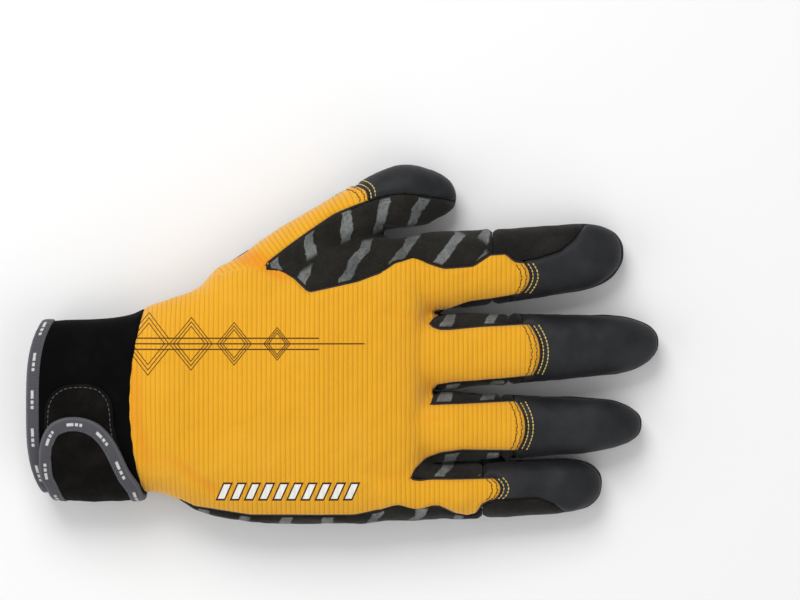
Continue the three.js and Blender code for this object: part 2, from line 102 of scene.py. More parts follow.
# The fingers. Edge columns: at (share of the finger), side (of its half width)
FINGER_ROOT = 0.5635
FINGERS = {
    "index": {
        "tip": 0.943,
        "side": (0.2415, 0.316),
        "half": (0.136, 0.108),
        "thumb_edge": [(0.1, 0.3), (0.19, 0.19), (0.25, 0.05), (0.37, 0.05), (0.44, 0.32), (0.51, 0.31),
                       (0.555, 0.06), (0.58, 0.02)],
        "little_edge": [(0.1, -1.3), (0.186, -1.3), (0.2, -1.17), (0.236, -1.05), (0.3, -0.96), (0.36, -0.9),
                        (0.57, -0.88)],
        "tip_thumb_edge": [(0.53, 0.04), (0.64, 0.1), (0.73, 0.25), (0.79, 0.56), (0.84, 1.06), (1.03, 1.06)],
        "tip_little_edge": [(0.53, -1.06), (1.03, -1.06)],
    },
    "middle": {
        "tip": 1.0,
        "side": (-0.0256, 0.0051),
        "half": (0.1325, 0.092),
        "thumb_edge": [(0.1, 0.8), (0.16, 0.8), (0.172, 0.68), (0.2, 0.6), (0.24, 0.6), (0.35, 0.68),
                       (0.525, 0.74)],
        "little_edge": [(0.1, -1.34), (0.168, -1.34), (0.178, -1.1), (0.194, -0.91), (0.25, -0.87),
                        (0.54, -0.84)],
        "tip_thumb_edge": [(0.5, 1.06), (1.03, 1.06)],
        "tip_little_edge": [(0.5, -1.06), (1.03, -1.06)],
    },
    "ring": {
        "tip": 0.973,
        "side": (-0.2855, -0.2735),
        "half": (0.124, 0.08),
        "thumb_edge": [(0.1, 0.73), (0.19, 0.71), (0.3, 0.75), (0.51, 0.86)],
        "little_edge": [(0.08, -1.45), (0.1, -1.34), (0.125, -1.08), (0.165, -0.87), (0.22, -0.73),
                        (0.3, -0.67), (0.515, -0.78)],
        "tip_thumb_edge": [(0.5, 1.06), (1.03, 1.06)],
        "tip_little_edge": [(0.5, -1.06), (1.03, -1.06)],
    },
    "little": {
        "tip": 0.9095,
        "side": (-0.5077, -0.478),
        "half": (0.096, 0.094),
        "thumb_edge": [(0.08, 0.62), (0.13, 0.57), (0.3, 0.51), (0.5, 0.48)],
        "little_edge": [(0.08, -0.42), (0.25, -0.5), (0.32, -0.8), (0.38, -0.9), (0.43, -0.84), (0.46, -0.5),
                        (0.5, -0.36)],
        "tip_thumb_edge": [(0.45, 1.06), (1.03, 1.06)],
        "tip_little_edge": [(0.45, -0.36), (0.7, -0.36), (0.77, -0.62), (0.83, -1.06), (1.03, -1.06)],
    },
}
KNIT_END_BOW = 0.032
TIP_PAD_START = 0.452
PAST_TIP = 1.03
FINGER_TAPER = 1.6
FINGER_DRIFT = 1.4
FINGER_POWER = 2.35
FINGER_ROOT_RISE = 1.2
FINGER_ROOT_HALF = 0.72
FINGER_ROOT_EASE = 0.2
FINGER_TIP_DROP = 0.8
TIP_ROUND_START = 0.8
TIP_ROUND_POWER = 2.3
TIP_END_SHARE = 0.05
SIDE_OVERHANG = 1.06

# The thumb. Columns: at, along, side (shares of its length from the root), half (of width), height
THUMB_ROOT = (0.2937 * GLOVE_LENGTH, 0.0325 * HAND_WIDTH)
THUMB_ROWS = [
    (0, 0, 0, 0.56, 1.22),
    (0.16, 0.119, 0.146, 0.585, 1.2),
    (0.34, 0.254, 0.261, 0.477, 1.13),
    (0.51, 0.39, 0.356, 0.42, 1.05),
    (0.66, 0.508, 0.424, 0.412, 1),
    (0.8, 0.627, 0.468, 0.47, 0.98),
    (0.9, 0.729, 0.473, 0.462, 0.92),
    (1, 0.82, 0.468, 0.43, 0.85),
]
THUMB_KNIT_BOW = 0.02
THUMB_KNIT_OUTER = [(0, 1.1), (0.67, 1.1)]
THUMB_KNIT_INNER = [(0, -0.7), (0.2, -0.3), (0.3, 0.3), (0.45, 0.36), (0.58, 0.42), (0.7, 0.22)]
THUMB_TIP_OUTER = [(0.64, 1.1), (1.03, 1.1)]
THUMB_TIP_INNER = [(0.64, 0.25), (0.75, 0.16), (0.9, -0.05), (1.03, -0.2)]

# Edges of the knit over the back of the hand. Columns: along (share of length), side (of width)
KNIT_THUMB_EDGE = [(0.11, 0.22), (0.25, 0.22), (0.27, 0.183), (0.295, 0.203), (0.346, 0.241), (0.39, 0.251),
                   (0.422, 0.227), (0.444, 0.18), (0.487, 0.2), (0.522, 0.217), (0.563, 0.251),
                   (0.581, 0.279), (0.608, 0.288), (0.628, 0.277)]
KNIT_LITTLE_EDGE = [(0.11, -0.56), (0.214, -0.53), (0.232, -0.518), (0.262, -0.553), (0.3, -0.566),
                    (0.352, -0.583), (0.517, -0.583), (0.552, -0.566), (0.579, -0.545), (0.605, -0.542)]


# Numbers


def lerp(a, b, share):
    return a + (b - a) * share


def ease(value):
    share = np.clip(value, 0, 1)
    return share * share * (3 - 2 * share)


def sample(rows, at):
    """Rows of a table eased at each place of its first column."""
    rows = np.asarray(rows, float)
    at = np.asarray(at, float)
    last = len(rows) - 1
    i = np.clip(np.searchsorted(rows[:, 0], at) - 1, 0, last - 1)
    before = rows[np.maximum(i - 1, 0)]
    start = rows[i]
    end = rows[i + 1]
    after = rows[np.minimum(i + 2, last)]
    span = (end[..., 0] - start[..., 0])[..., None]
    t = np.clip((at - start[..., 0])[..., None] / span, 0, 1)
    slope_start = (end - before) / (end[..., 0] - before[..., 0])[..., None] * span
    slope_end = (after - start) / (after[..., 0] - start[..., 0])[..., None] * span
    t2 = t * t
    t3 = t2 * t
    return ((2 * t3 - 3 * t2 + 1) * start + (t3 - 2 * t2 + t) * slope_start
            + (3 * t2 - 2 * t3) * end + (t3 - t2) * slope_end)


def straight(rows, at):
    """The second column of a table, joined by straight lines."""
    rows = np.asarray(rows, float)
    return np.interp(at, rows[:, 0], rows[:, 1])


def unit(vectors):
    """The vectors made one long."""
    return vectors / np.maximum(np.linalg.norm(vectors, axis=-1), 1e-9)[..., None]


def signed_power(value, power):
    return np.sign(value) * np.abs(value) ** power


def run_along(points):
    """The length along a line up to each of its points."""
    return np.concatenate([[0], np.cumsum(np.linalg.norm(np.diff(points, axis=0), axis=1))])


def along_line(at, run, line):
    """A line's points at some lengths along it."""
    return np.stack([np.interp(at, run, line[:, i]) for i in range(line.shape[1])], -1)


def ripples(points, length, seed, count=9):
    """A soft random relief between about -1 and 1 whose waves are some length long."""
    random = np.random.default_rng(seed)
    total = np.zeros(len(points))
    for _ in range(count):
        way = random.normal(size=3)
        way *= 2 * math.pi / length / np.linalg.norm(way) * random.uniform(0.6, 1.5)
        total += np.sin(points @ way + random.uniform(0, 2 * math.pi))
    return total / math.sqrt(count)


# Folds in the cloth. Columns: start x and y, end x and y, half width, rise (below zero for a valley).
# A fold sways sideways, and fades over a share of its length from a share beyond each end
FOLD_SWAY = 0.9
FOLD_TURN = 5.0
FOLD_BEYOND = 0.35
FOLD_FADE = 0.6
PALM_FOLDS = [
    (130, 56, 160, 48.5, 1.8, 0.8),
    (131, 51.5, 149, 43, 2.2, -1.3),
    (149, 43, 168, 42, 1.8, -0.8),
    (112, 47, 126, 41, 1.6, -0.6),
    (138, 61, 156, 57, 1.6, 0.5),
    (196, 37, 212, 43, 1.8, -0.5),
    (196, -52, 214, -55, 1.8, -0.5),
    (150, -70, 170, -69, 1.6, -0.4),
]
KNIT_FOLDS = [
    (78, 37, 104, 29, 4.2, -1.1),
    (66, 30, 92, 24, 3.4, 0.5),
    (43, -8, 47, -48, 3.5, -0.7),
    (54, -44, 78, -58, 3.2, -0.6),
    (150, -28, 166, -30, 2.6, -0.4),
    (142, 12, 158, 12, 2.6, -0.4),
    (130, -50, 152, -52, 2.6, -0.4),
]


def folds(points, table):
    """Rise of the folds over each point's plan place."""
    total = np.zeros(len(points))
    for start_x, start_y, end_x, end_y, width, rise in table:
        start = np.array([start_x, start_y])
        line = np.array([end_x, end_y]) - start
        length = np.linalg.norm(line)
        way = line / length
        offset = points[:, :2] - start
        along = offset @ way / length
        across = offset[:, 1] * way[0] - offset[:, 0] * way[1]
        across = across + FOLD_SWAY * np.sin(along * FOLD_TURN + start_x)
        fade = ease((along + FOLD_BEYOND) / FOLD_FADE) * ease((1 + FOLD_BEYOND - along) / FOLD_FADE)
        total += rise * fade * np.exp(-(across / width) ** 2)
    return total


# The glove's form: flat ovals round the hand, the fingers and the thumb, joined softly


def soft_min(a, b, width):
    near = np.maximum(width - np.abs(a - b), 0) / width
    return np.minimum(a, b) - near * near * width / 4


def oval(out, z, section, power):
    """About how far a point lies outside an oval section, below zero inside."""
    u = np.maximum(np.abs(out) / section["half"], 1e-4)
    scale = np.where(z > section["middle"], section["rise"], section["sag"])
    v = np.maximum(np.abs(z - section["middle"]) / scale, 1e-4)
    reach = (u ** power + v ** power) ** (1 / power)
    slope = np.hypot((u / reach) ** (power - 1) / section["half"], (v / reach) ** (power - 1) / scale)
    return (reach - 1) / slope


def upright(height, rounding=1.0, lift=0.0):
    """A section's measures up and down from its middle."""
    return {
        "rise": height * rounding * (1 - SECTION_MIDDLE),
        "sag": height * rounding * SECTION_SAG,
        "middle": lift + height * SECTION_MIDDLE,
    }


def hand_section(x):
    row = sample(HAND_ROWS, x / GLOVE_LENGTH)
    lift = np.maximum(row[..., 5], 0) * STRAP_STACK
    return {
        "y": row[..., 1] * HAND_WIDTH,
        "half": row[..., 2] * HAND_WIDTH,
        "power": row[..., 4],
        "lift": lift,
        **upright(row[..., 3] * HAND_HEIGHT, lift=lift),
    }


def tip_rounding(at):
    into = np.clip((at - TIP_ROUND_START) / (1 - TIP_ROUND_START), 0, 1)
    return np.maximum((1 - into ** TIP_ROUND_POWER) ** (1 / TIP_ROUND_POWER), TIP_END_SHARE)


def finger_at(finger, x):
    return (x / GLOVE_LENGTH - FINGER_ROOT) / (finger["tip"] - FINGER_ROOT)


def finger_x(finger, at):
    return GLOVE_LENGTH * lerp(FINGER_ROOT, finger["tip"], at)


def finger_section(finger, at):
    place = np.clip(at, 0, 1)
    full_half = HAND_WIDTH * lerp(finger["half"][0], finger["half"][1], place ** FINGER_TAPER)
    rounding = tip_rounding(place)
    opening = lerp(FINGER_ROOT_HALF, 1, ease(place / FINGER_ROOT_EASE))
    return {
        "y": HAND_WIDTH * lerp(finger["side"][0], finger["side"][1], place ** FINGER_DRIFT),
        "full_half": full_half,
        "half": full_half * rounding * opening,
        **upright(FINGER_HEIGHT * lerp(FINGER_ROOT_RISE, FINGER_TIP_DROP, place), rounding),
    }


def thumb_line(count=161):
    """Evenly spaced points along the thumb's middle line, their headings and its length."""
    rows = sample(THUMB_ROWS, np.linspace(0, 1, 800))
    path = np.array(THUMB_ROOT) + rows[:, 1:3] * THUMB_LENGTH
    run = run_along(path)
    points = along_line(np.linspace(0, run[-1], count), run, path)
    return points, unit(np.gradient(points, axis=0)), run[-1]


THUMB_POINTS, THUMB_HEADING, THUMB_RUN = thumb_line()


def thumb_place(at):
    """Plan place and heading at a share of the thumb's middle line."""
    index = np.clip(at, 0, 1) * (len(THUMB_POINTS) - 1)
    steps = np.arange(len(THUMB_POINTS))
    return along_line(index, steps, THUMB_POINTS), along_line(index, steps, THUMB_HEADING)


def thumb_section(at):
    row = sample(THUMB_ROWS, np.clip(at, 0, 1))
    rounding = tip_rounding(np.clip(at, 0, 1))
    full_half = row[..., 3] * THUMB_WIDTH
    return {
        "full_half": full_half,
        "half": full_half * rounding,
        **upright(row[..., 4] * THUMB_HEIGHT, rounding),
    }


# The thumb's line is searched at every fourth point, for this many plan points at a time
SEARCH_STRIDE = 4
SEARCH_BATCH = 20000


def thumb_coordinates(plan):
    """Share along the thumb and distance out of its middle line, towards its outer side, for plan points."""
    at = np.zeros(len(plan))
    out = np.zeros(len(plan))
    last = len(THUMB_POINTS) - 1
    for start in range(0, len(plan), SEARCH_BATCH):
        batch = slice(start, start + SEARCH_BATCH)
        away = plan[batch, None, :] - THUMB_POINTS[None, ::SEARCH_STRIDE, :]
        nearest = np.argmin((away ** 2).sum(axis=2), axis=1) * SEARCH_STRIDE
        offset = plan[batch] - THUMB_POINTS[nearest]
        heading = THUMB_HEADING[nearest]
        at[batch] = nearest / last + (offset * heading).sum(axis=1) / THUMB_RUN
        out[batch] = offset[:, 1] * heading[:, 0] - offset[:, 0] * heading[:, 1]
    return at, out


def hand_distance(points):
    x, y, z = points.T
    section = hand_section(x)
    gap = oval(y - section["y"], z, section, section["power"])
    return np.maximum(gap, x - HAND_ROWS[-1][0] * GLOVE_LENGTH)


def finger_distance(finger, points):
    x, y, z = points.T
    section = finger_section(finger, finger_at(finger, x))
    gap = oval(y - section["y"], z, section, FINGER_POWER)
    return np.maximum(gap, np.maximum(x - finger_x(finger, 1), finger_x(finger, 0) - x))


# Points outside this stretch of the hand aren't measured from the thumb, but count as far away, mm
THUMB_FROM_X = 55
THUMB_TO_X = 190
THUMB_FROM_Y = -25
FAR_AWAY = 60.0


def thumb_distance(points):
    near = (points[:, 0] > THUMB_FROM_X) & (points[:, 0] < THUMB_TO_X) & (points[:, 1] > THUMB_FROM_Y)
    result = np.full(len(points), FAR_AWAY)
    at, out = thumb_coordinates(points[near, :2])
    gap = oval(out, points[near, 2], thumb_section(at), FINGER_POWER)
    result[near] = np.maximum(gap, np.maximum(at - 1, -at) * THUMB_RUN)
    return result


def form(points):
    """About how far points lie outside the glove, below zero inside."""
    fingers = None
    for finger in FINGERS.values():
        one = finger_distance(finger, points)
        fingers = one if fingers is None else soft_min(fingers, one, FINGER_BLEND)
    whole = soft_min(hand_distance(points), fingers, HAND_BLEND)
    whole = soft_min(whole, thumb_distance(points), THUMB_BLEND)
    floor = hand_section(points[:, 0])["lift"]
    return np.maximum(whole, floor - points[:, 2])


def normals_of(points, step=0.35):
    """Directions out of the glove's form."""
    slope = np.zeros_like(points)
    for axis in range(3):
        shift = np.zeros(3)
        shift[axis] = step
        slope[:, axis] = form(points + shift) - form(points - shift)
    return unit(slope)


def onto_form(points, ways, inside=7.0, outside=9.0):
    """Moves points along their ways to where they leave the form."""
    low = np.full(len(points), -inside)
    high = np.full(len(points), outside)
    for _ in range(20):
        middle = (low + high) / 2
        within = form(points + ways * middle[:, None]) < 0
        low = np.where(within, middle, low)
        high = np.where(within, high, middle)
    return points + ways * ((low + high) / 2)[:, None]


# A height inside the hand and the digits, from which the upper side is looked for, mm
CORE_HEIGHT = 9.0
UP = np.array([0.0, 0.0, 1.0])


def top_of(plan):
    """Points on the glove's upper side over plan points."""
    start = np.column_stack([plan, np.full(len(plan), CORE_HEIGHT)])
    return onto_form(start, np.tile(UP, (len(plan), 1)), inside=0.0, outside=32.0)


# Plan zones of the panels


def edge_points(rows):
    return [(along * GLOVE_LENGTH, side * HAND_WIDTH) for along, side in rows]


def finger_plan(finger, at, side):
    section = finger_section(finger, np.asarray(at, float))
    return np.stack([finger_x(finger, np.asarray(at, float)), section["y"] + side * section["full_half"]], -1)


def thumb_plan(at, side):
    at = np.asarray(at, float)
    place, heading = thumb_place(at)
    section = thumb_section(at)
    out = side * section["full_half"]
    past = np.maximum(at - 1, 0) * THUMB_RUN
    return np.stack([
        place[..., 0] - heading[..., 1] * out + heading[..., 0] * past,
        place[..., 1] + heading[..., 0] * out + heading[..., 1] * past,
    ], -1)


def closely(rows, step=0.03):
    """An edge's rows with more of them between."""
    ats = [rows[0][0]]
    for before, after in zip(rows, rows[1:]):
        count = max(1, math.ceil((after[0] - before[0]) / step))
        ats += [lerp(before[0], after[0], i / count) for i in range(1, count + 1)]
    return [(at, float(straight(rows, at))) for at in ats]


def end_line(outer, inner, bow, count=9):
    """The rows of the bowed line between the ends of two edges."""
    rows = []
    for share in np.linspace(0, 1, count):
        at = lerp(outer[-1][0], inner[-1][0], share) + bow * 4 * share * (1 - share)
        rows.append((at, lerp(outer[-1][1], inner[-1][1], share)))
    return rows


def zone(plan, outer, inner, bow):
    rows = closely(outer) + end_line(outer, inner, bow)[1:-1] + closely(inner)[::-1]
    return np.array([plan(at, side) for at, side in rows])


def inside_outline(plan, outline):
    """How far plan points lie inside a closed outline, below zero outside."""
    nearest = np.full(len(plan), np.inf)
    crossings = np.zeros(len(plan), int)
    for start, end in zip(outline, np.roll(outline, -1, axis=0)):
        line = end - start
        offset = plan - start
        share = np.clip(offset @ line / max(line @ line, 1e-12), 0, 1)
        nearest = np.minimum(nearest, np.hypot(*(offset - share[:, None] * line).T))
        straddles = (start[1] > plan[:, 1]) != (end[1] > plan[:, 1])
        rise = line[1] if line[1] else 1e-12
        crossing_x = start[0] + (plan[:, 1] - start[1]) / rise * line[0]
        crossings += straddles & (plan[:, 0] < crossing_x)
    return np.where(crossings % 2 == 1, nearest, -nearest)


def wrist_inside(points):
    """How far points lie past the bowed seam between the cuff and the hand."""
    section = hand_section(points[:, 0])
    share = np.clip(np.abs(points[:, 1] - section["y"]) / section["half"], 0, 1)
    return points[:, 0] - CUFF_LENGTH - SEAM_GAP - CUFF_BOW * share ** 2


KNIT_OUTLINES = [np.array(edge_points(KNIT_THUMB_EDGE) + edge_points(KNIT_LITTLE_EDGE)[::-1])]
TIP_OUTLINES = {"thumb": zone(thumb_plan, THUMB_TIP_OUTER, THUMB_TIP_INNER, 0)}
PAD_OUTLINES = {}
THUMB_KNIT_OUTLINE = zone(thumb_plan, THUMB_KNIT_OUTER, THUMB_KNIT_INNER, THUMB_KNIT_BOW)


def finger_outlines():
    pad_edges = [[(at, side) for at in (TIP_PAD_START, PAST_TIP)] for side in (SIDE_OVERHANG, -SIDE_OVERHANG)]
    for name, finger in FINGERS.items():
        plan = partial(finger_plan, finger)
        KNIT_OUTLINES.append(zone(plan, finger["thumb_edge"], finger["little_edge"], KNIT_END_BOW))
        TIP_OUTLINES[name] = zone(plan, finger["tip_thumb_edge"], finger["tip_little_edge"], 0)
        PAD_OUTLINES[name] = zone(plan, *pad_edges, 0)


finger_outlines()


def over_seam(points, outlines):
    """How far points lie inside any of some plan outlines and above the seam."""
    level = np.max([inside_outline(points[:, :2], outline) for outline in outlines], axis=0)
    return np.minimum(level, points[:, 2] - SEAM_HEIGHT)


def knit_inside(points):
    return over_seam(points, KNIT_OUTLINES)


def thumb_knit_inside(points):
    return over_seam(points, [THUMB_KNIT_OUTLINE])


# Meshes


def to_object(name, points, faces):
    """An object from points in millimetres and its faces."""
    mesh = bpy.data.meshes.new(name)
    world = (np.asarray(points, float) + SHIFT) / 1000
    mesh.from_pydata(world.tolist(), [], [list(map(int, face)) for face in faces])
    mesh.validate()
    mesh.update()
    mesh.shade_smooth()
    piece = bpy.data.objects.new(name, mesh)
    bpy.context.scene.collection.objects.link(piece)
    return piece


def set_values(piece, name, values):
    layer = piece.data.attributes.new(name, "FLOAT", "POINT")
    layer.data.foreach_set("value", np.asarray(values, np.float32))


def set_on_both(piece, name, values):
    """Values for a panel's outer points and the same ones for its inner points."""
    set_values(piece, name, np.concatenate([values, values]))


def grid_quads(rows, columns):
    """The faces of an open grid of points."""
    ids = np.arange(rows * columns).reshape(rows, columns)
    return np.stack([ids[:-1, :-1], ids[:-1, 1:], ids[1:, 1:], ids[1:, :-1]], -1).reshape(-1, 4)


def tube_faces(rings, sides, closed):
    """The faces of a tube whose rings follow each other, with caps where it isn't closed."""
    ids = np.arange(rings * sides).reshape(rings, sides)
    ahead = np.roll(ids, -1, axis=0)
    faces = np.stack([ids, ahead, np.roll(ahead, -1, axis=1), np.roll(ids, -1, axis=1)], -1)
    if closed:
        return faces.reshape(-1, 4).tolist()
    return faces[:-1].reshape(-1, 4).tolist() + [ids[0].tolist(), ids[-1, ::-1].tolist()]


def split_quads(quads):
    return np.concatenate([quads[:, [0, 1, 2]], quads[:, [0, 2, 3]]])


def stacked(parts):
    """The points and faces of several meshes as one."""
    faces = []
    offset = 0
    for points, some_faces in parts:
        faces += [[index + offset for index in face] for face in some_faces]
        offset += len(points)
    return np.concatenate([points for points, _ in parts]), faces


def repair(piece, weld=0.0):
    """Makes one of points that lie within a distance in millimetres and turns all faces outwards."""
    mesh = bmesh.new()
    mesh.from_mesh(piece.data)
    if weld:
        bmesh.ops.remove_doubles(mesh, verts=mesh.verts, dist=weld / 1000)
        bmesh.ops.dissolve_degenerate(mesh, edges=mesh.edges, dist=weld / 4000)
    bmesh.ops.recalc_face_normals(mesh, faces=mesh.faces)
    mesh.to_mesh(piece.data)
    mesh.free()
    piece.data.shade_smooth()


def outer_edges(faces):
    """The edges that belong to one face only, in the face's order."""
    edges = np.concatenate([np.stack([faces[:, i], np.roll(faces, -1, axis=1)[:, i]], 1)
                            for i in range(faces.shape[1])])
    keys = np.sort(edges, axis=1)
    _, index, counts = np.unique(keys, axis=0, return_index=True, return_counts=True)
    return edges[index[counts == 1]]


def edge_distance(points, edges):
    """How far each point lies from the nearest outer edge."""
    marks = np.concatenate([points[edges[:, 0]], (points[edges[:, 0]] + points[edges[:, 1]]) / 2])
    tree = KDTree(len(marks))
    for i, mark in enumerate(marks):
        tree.insert(mark, i)
    tree.balance()
    return np.array([tree.find(point)[2] for point in points])


def cut(points, triangles, level):
    """The part of a mesh where the level is above zero, with a clean edge."""
    inside = level(points) > 0
    count = inside[triangles].sum(axis=1)
    corners = []
    for odd_inside, wanted in ((True, 1), (False, 2)):
        some = triangles[count == wanted]
        odd = (inside[some] == odd_inside).argmax(axis=1)
        rows = np.arange(len(some))
        corners.append([some[rows, (odd + turn) % 3] for turn in range(3)])
    pairs = [np.stack([a, other], 1) for a, b, c in corners for other in (b, c)]
    keys, places = np.unique(np.sort(np.concatenate(pairs), axis=1), axis=0, return_inverse=True)
    places = places.reshape(-1) + len(points)
    first_in = inside[keys[:, 0]]
    low = points[np.where(first_in, keys[:, 0], keys[:, 1])]
    high = points[np.where(first_in, keys[:, 1], keys[:, 0])]
    for _ in range(12):
        middle = (low + high) / 2
        within = (level(middle) > 0)[:, None]
        low = np.where(within, middle, low)
        high = np.where(within, high, middle)
    all_points = np.concatenate([points, (low + high) / 2])
    ab_one, ac_one, ab_two, ac_two = np.split(places, np.cumsum([len(pair) for pair in pairs])[:-1])
    (one, _, _), (_, b, c) = corners
    faces = np.concatenate([triangles[count == 3], np.stack([one, ab_one, ac_one], 1),
                            np.stack([ab_two, b, c], 1), np.stack([ab_two, c, ac_two], 1)])
    used, compact = np.unique(faces, return_inverse=True)
    return all_points[used], compact.reshape(faces.shape)


# How far from its edge a panel's crown and its relief reach their full height, mm
CROWN_REACH = 9
RELIEF_REACH = 2.5


def cloth(name, points, normals, faces, wall, roll, roll_width, crown, relief):
    """A closed panel of cloth from an open surface, with its edges rolled in and a soft crown."""
    edges = outer_edges(faces)
    distance = edge_distance(points, edges)
    drop = roll * np.clip(1 - distance / roll_width, 0, 1) ** 2
    lifted = crown * ease(distance / CROWN_REACH) - drop + relief * ease(distance / RELIEF_REACH)
    outer = points + normals * lifted[:, None]
    outer[:, 2] = np.maximum(outer[:, 2], 0.0)
    inner = points - normals * (wall + drop * 0.6)[:, None]
    count = len(points)
    rim = np.stack([edges[:, 1], edges[:, 0], edges[:, 0] + count, edges[:, 1] + count], 1)
    all_faces = faces.tolist() + (faces[:, ::-1] + count).tolist() + rim.tolist()
    piece = to_object(name, np.concatenate([outer, inner]), all_faces)
    set_on_both(piece, "edge", distance)
    return piece, outer


# The skin from which the smooth panels are cut

CAD_TIP = max(corner[0] for corner in cad_box) * 1000
SHIFT = np.array([CAD_TIP - GLOVE_LENGTH, 0.03, 0.0])


# The box that the skin is looked for in, mm. It starts under the cuff and leaves room on all other sides
SKIN_LOW = np.array([36.0, -78.0, -3.3])
SKIN_HIGH = np.array([254.0, 80.0, 39.0])


def skin_cells():
    """The grid's places, the form there, where it is inside, and the cells that the surface passes."""
    count = np.ceil((SKIN_HIGH - SKIN_LOW) / SKIN_VOXEL).astype(int) + 1
    axes = [SKIN_LOW[i] + SKIN_VOXEL * np.arange(count[i]) for i in range(3)]
    grid = np.stack(np.meshgrid(*axes, indexing="ij"), -1)
    value = np.stack([form(sheet.reshape(-1, 3)).reshape(sheet.shape[:2]) for sheet in grid])
    within = value < 0
    size = tuple(count - 1)
    full = np.zeros(size, int)
    for i, j, k in np.ndindex(2, 2, 2):
        full += within[i:i + size[0], j:j + size[1], k:k + size[2]]
    return grid, value, within, np.argwhere((full > 0) & (full < 8))


def cell_points(grid, value, within, cells):
    """For each cell the mean of the places where the surface crosses its edges."""
    total = np.zeros((len(cells), 3))
    crossed = np.zeros(len(cells))
    for axis, i, j in np.ndindex(3, 2, 2):
        a = tuple((cells + np.insert([i, j], axis, 0)).T)
        b = tuple((cells + np.insert([i, j], axis, 1)).T)
        crosses = within[a] != within[b]
        gap = value[a] - value[b]
        share = np.where(crosses, value[a] / np.where(gap == 0, 1, gap), 0)
        place = grid[a] + (grid[b] - grid[a]) * share[:, None]
        total += np.where(crosses[:, None], place, 0)
        crossed += crosses
    return total / crossed[:, None]


def cell_quads(within, cells):
    """A quad round each edge of the grid that the surface crosses."""
    number = -np.ones(np.array(within.shape) - 1, int)
    number[tuple(cells.T)] = np.arange(len(cells))
    quads = []
    for axis in range(3):
        others = [i for i in range(3) if i != axis]
        low_side = [slice(1, -1)] * 3
        low_side[axis] = slice(0, -1)
        high_side = [slice(1, -1)] * 3
        high_side[axis] = slice(1, None)
        a = within[tuple(low_side)]
        b = within[tuple(high_side)]
        for crossing, turned in ((a & ~b, axis == 1), (~a & b, axis != 1)):
            ring = []
            for step in ((1, 1), (0, 1), (0, 0), (1, 0)):
                cell = np.argwhere(crossing)
                cell[:, others] += step
                ring.append(number[tuple(cell.T)])
            quads.append(np.stack(ring[::-1] if turned else ring, 1))
    return np.concatenate(quads)


def skin():
    """The glove's whole surface as points and triangles."""
    grid, value, within, cells = skin_cells()
    points = cell_points(grid, value, within, cells)
    settled = onto_form(points, normals_of(points), inside=1.5, outside=1.5)
    return settled, split_quads(cell_quads(within, cells))


SKIN_POINTS, SKIN_TRIANGLES = skin()


# Materials


def new_material(name, roughness, sheen=0.0, sheen_roughness=0.5, specular=0.5):
    material = bpy.data.materials.new(name)
    material.use_nodes = True
    shader = material.node_tree.nodes["Principled BSDF"]
    shader.inputs["Roughness"].default_value = roughness
    shader.inputs["Sheen Weight"].default_value = sheen
    shader.inputs["Sheen Roughness"].default_value = sheen_roughness
    shader.inputs["Specular IOR Level"].default_value = specular
    return Nodes(material)


class Number:
    """A number that a node gives, so that node math reads like plain arithmetic."""

    def __init__(self, nodes, socket):
        self.nodes = nodes
        self.socket = socket

    def __add__(self, other):
        return self.nodes.math("ADD", self, other)

    def __sub__(self, other):
        return self.nodes.math("SUBTRACT", self, other)

    def __rsub__(self, other):
        return self.nodes.math("SUBTRACT", other, self)

    def __mul__(self, other):
        return self.nodes.math("MULTIPLY", self, other)

    def __truediv__(self, other):
        return self.nodes.math("DIVIDE", self, other)

    def __mod__(self, other):
        return self.nodes.math("MODULO", self, other)

    def __abs__(self):
        return self.nodes.math("ABSOLUTE", self)


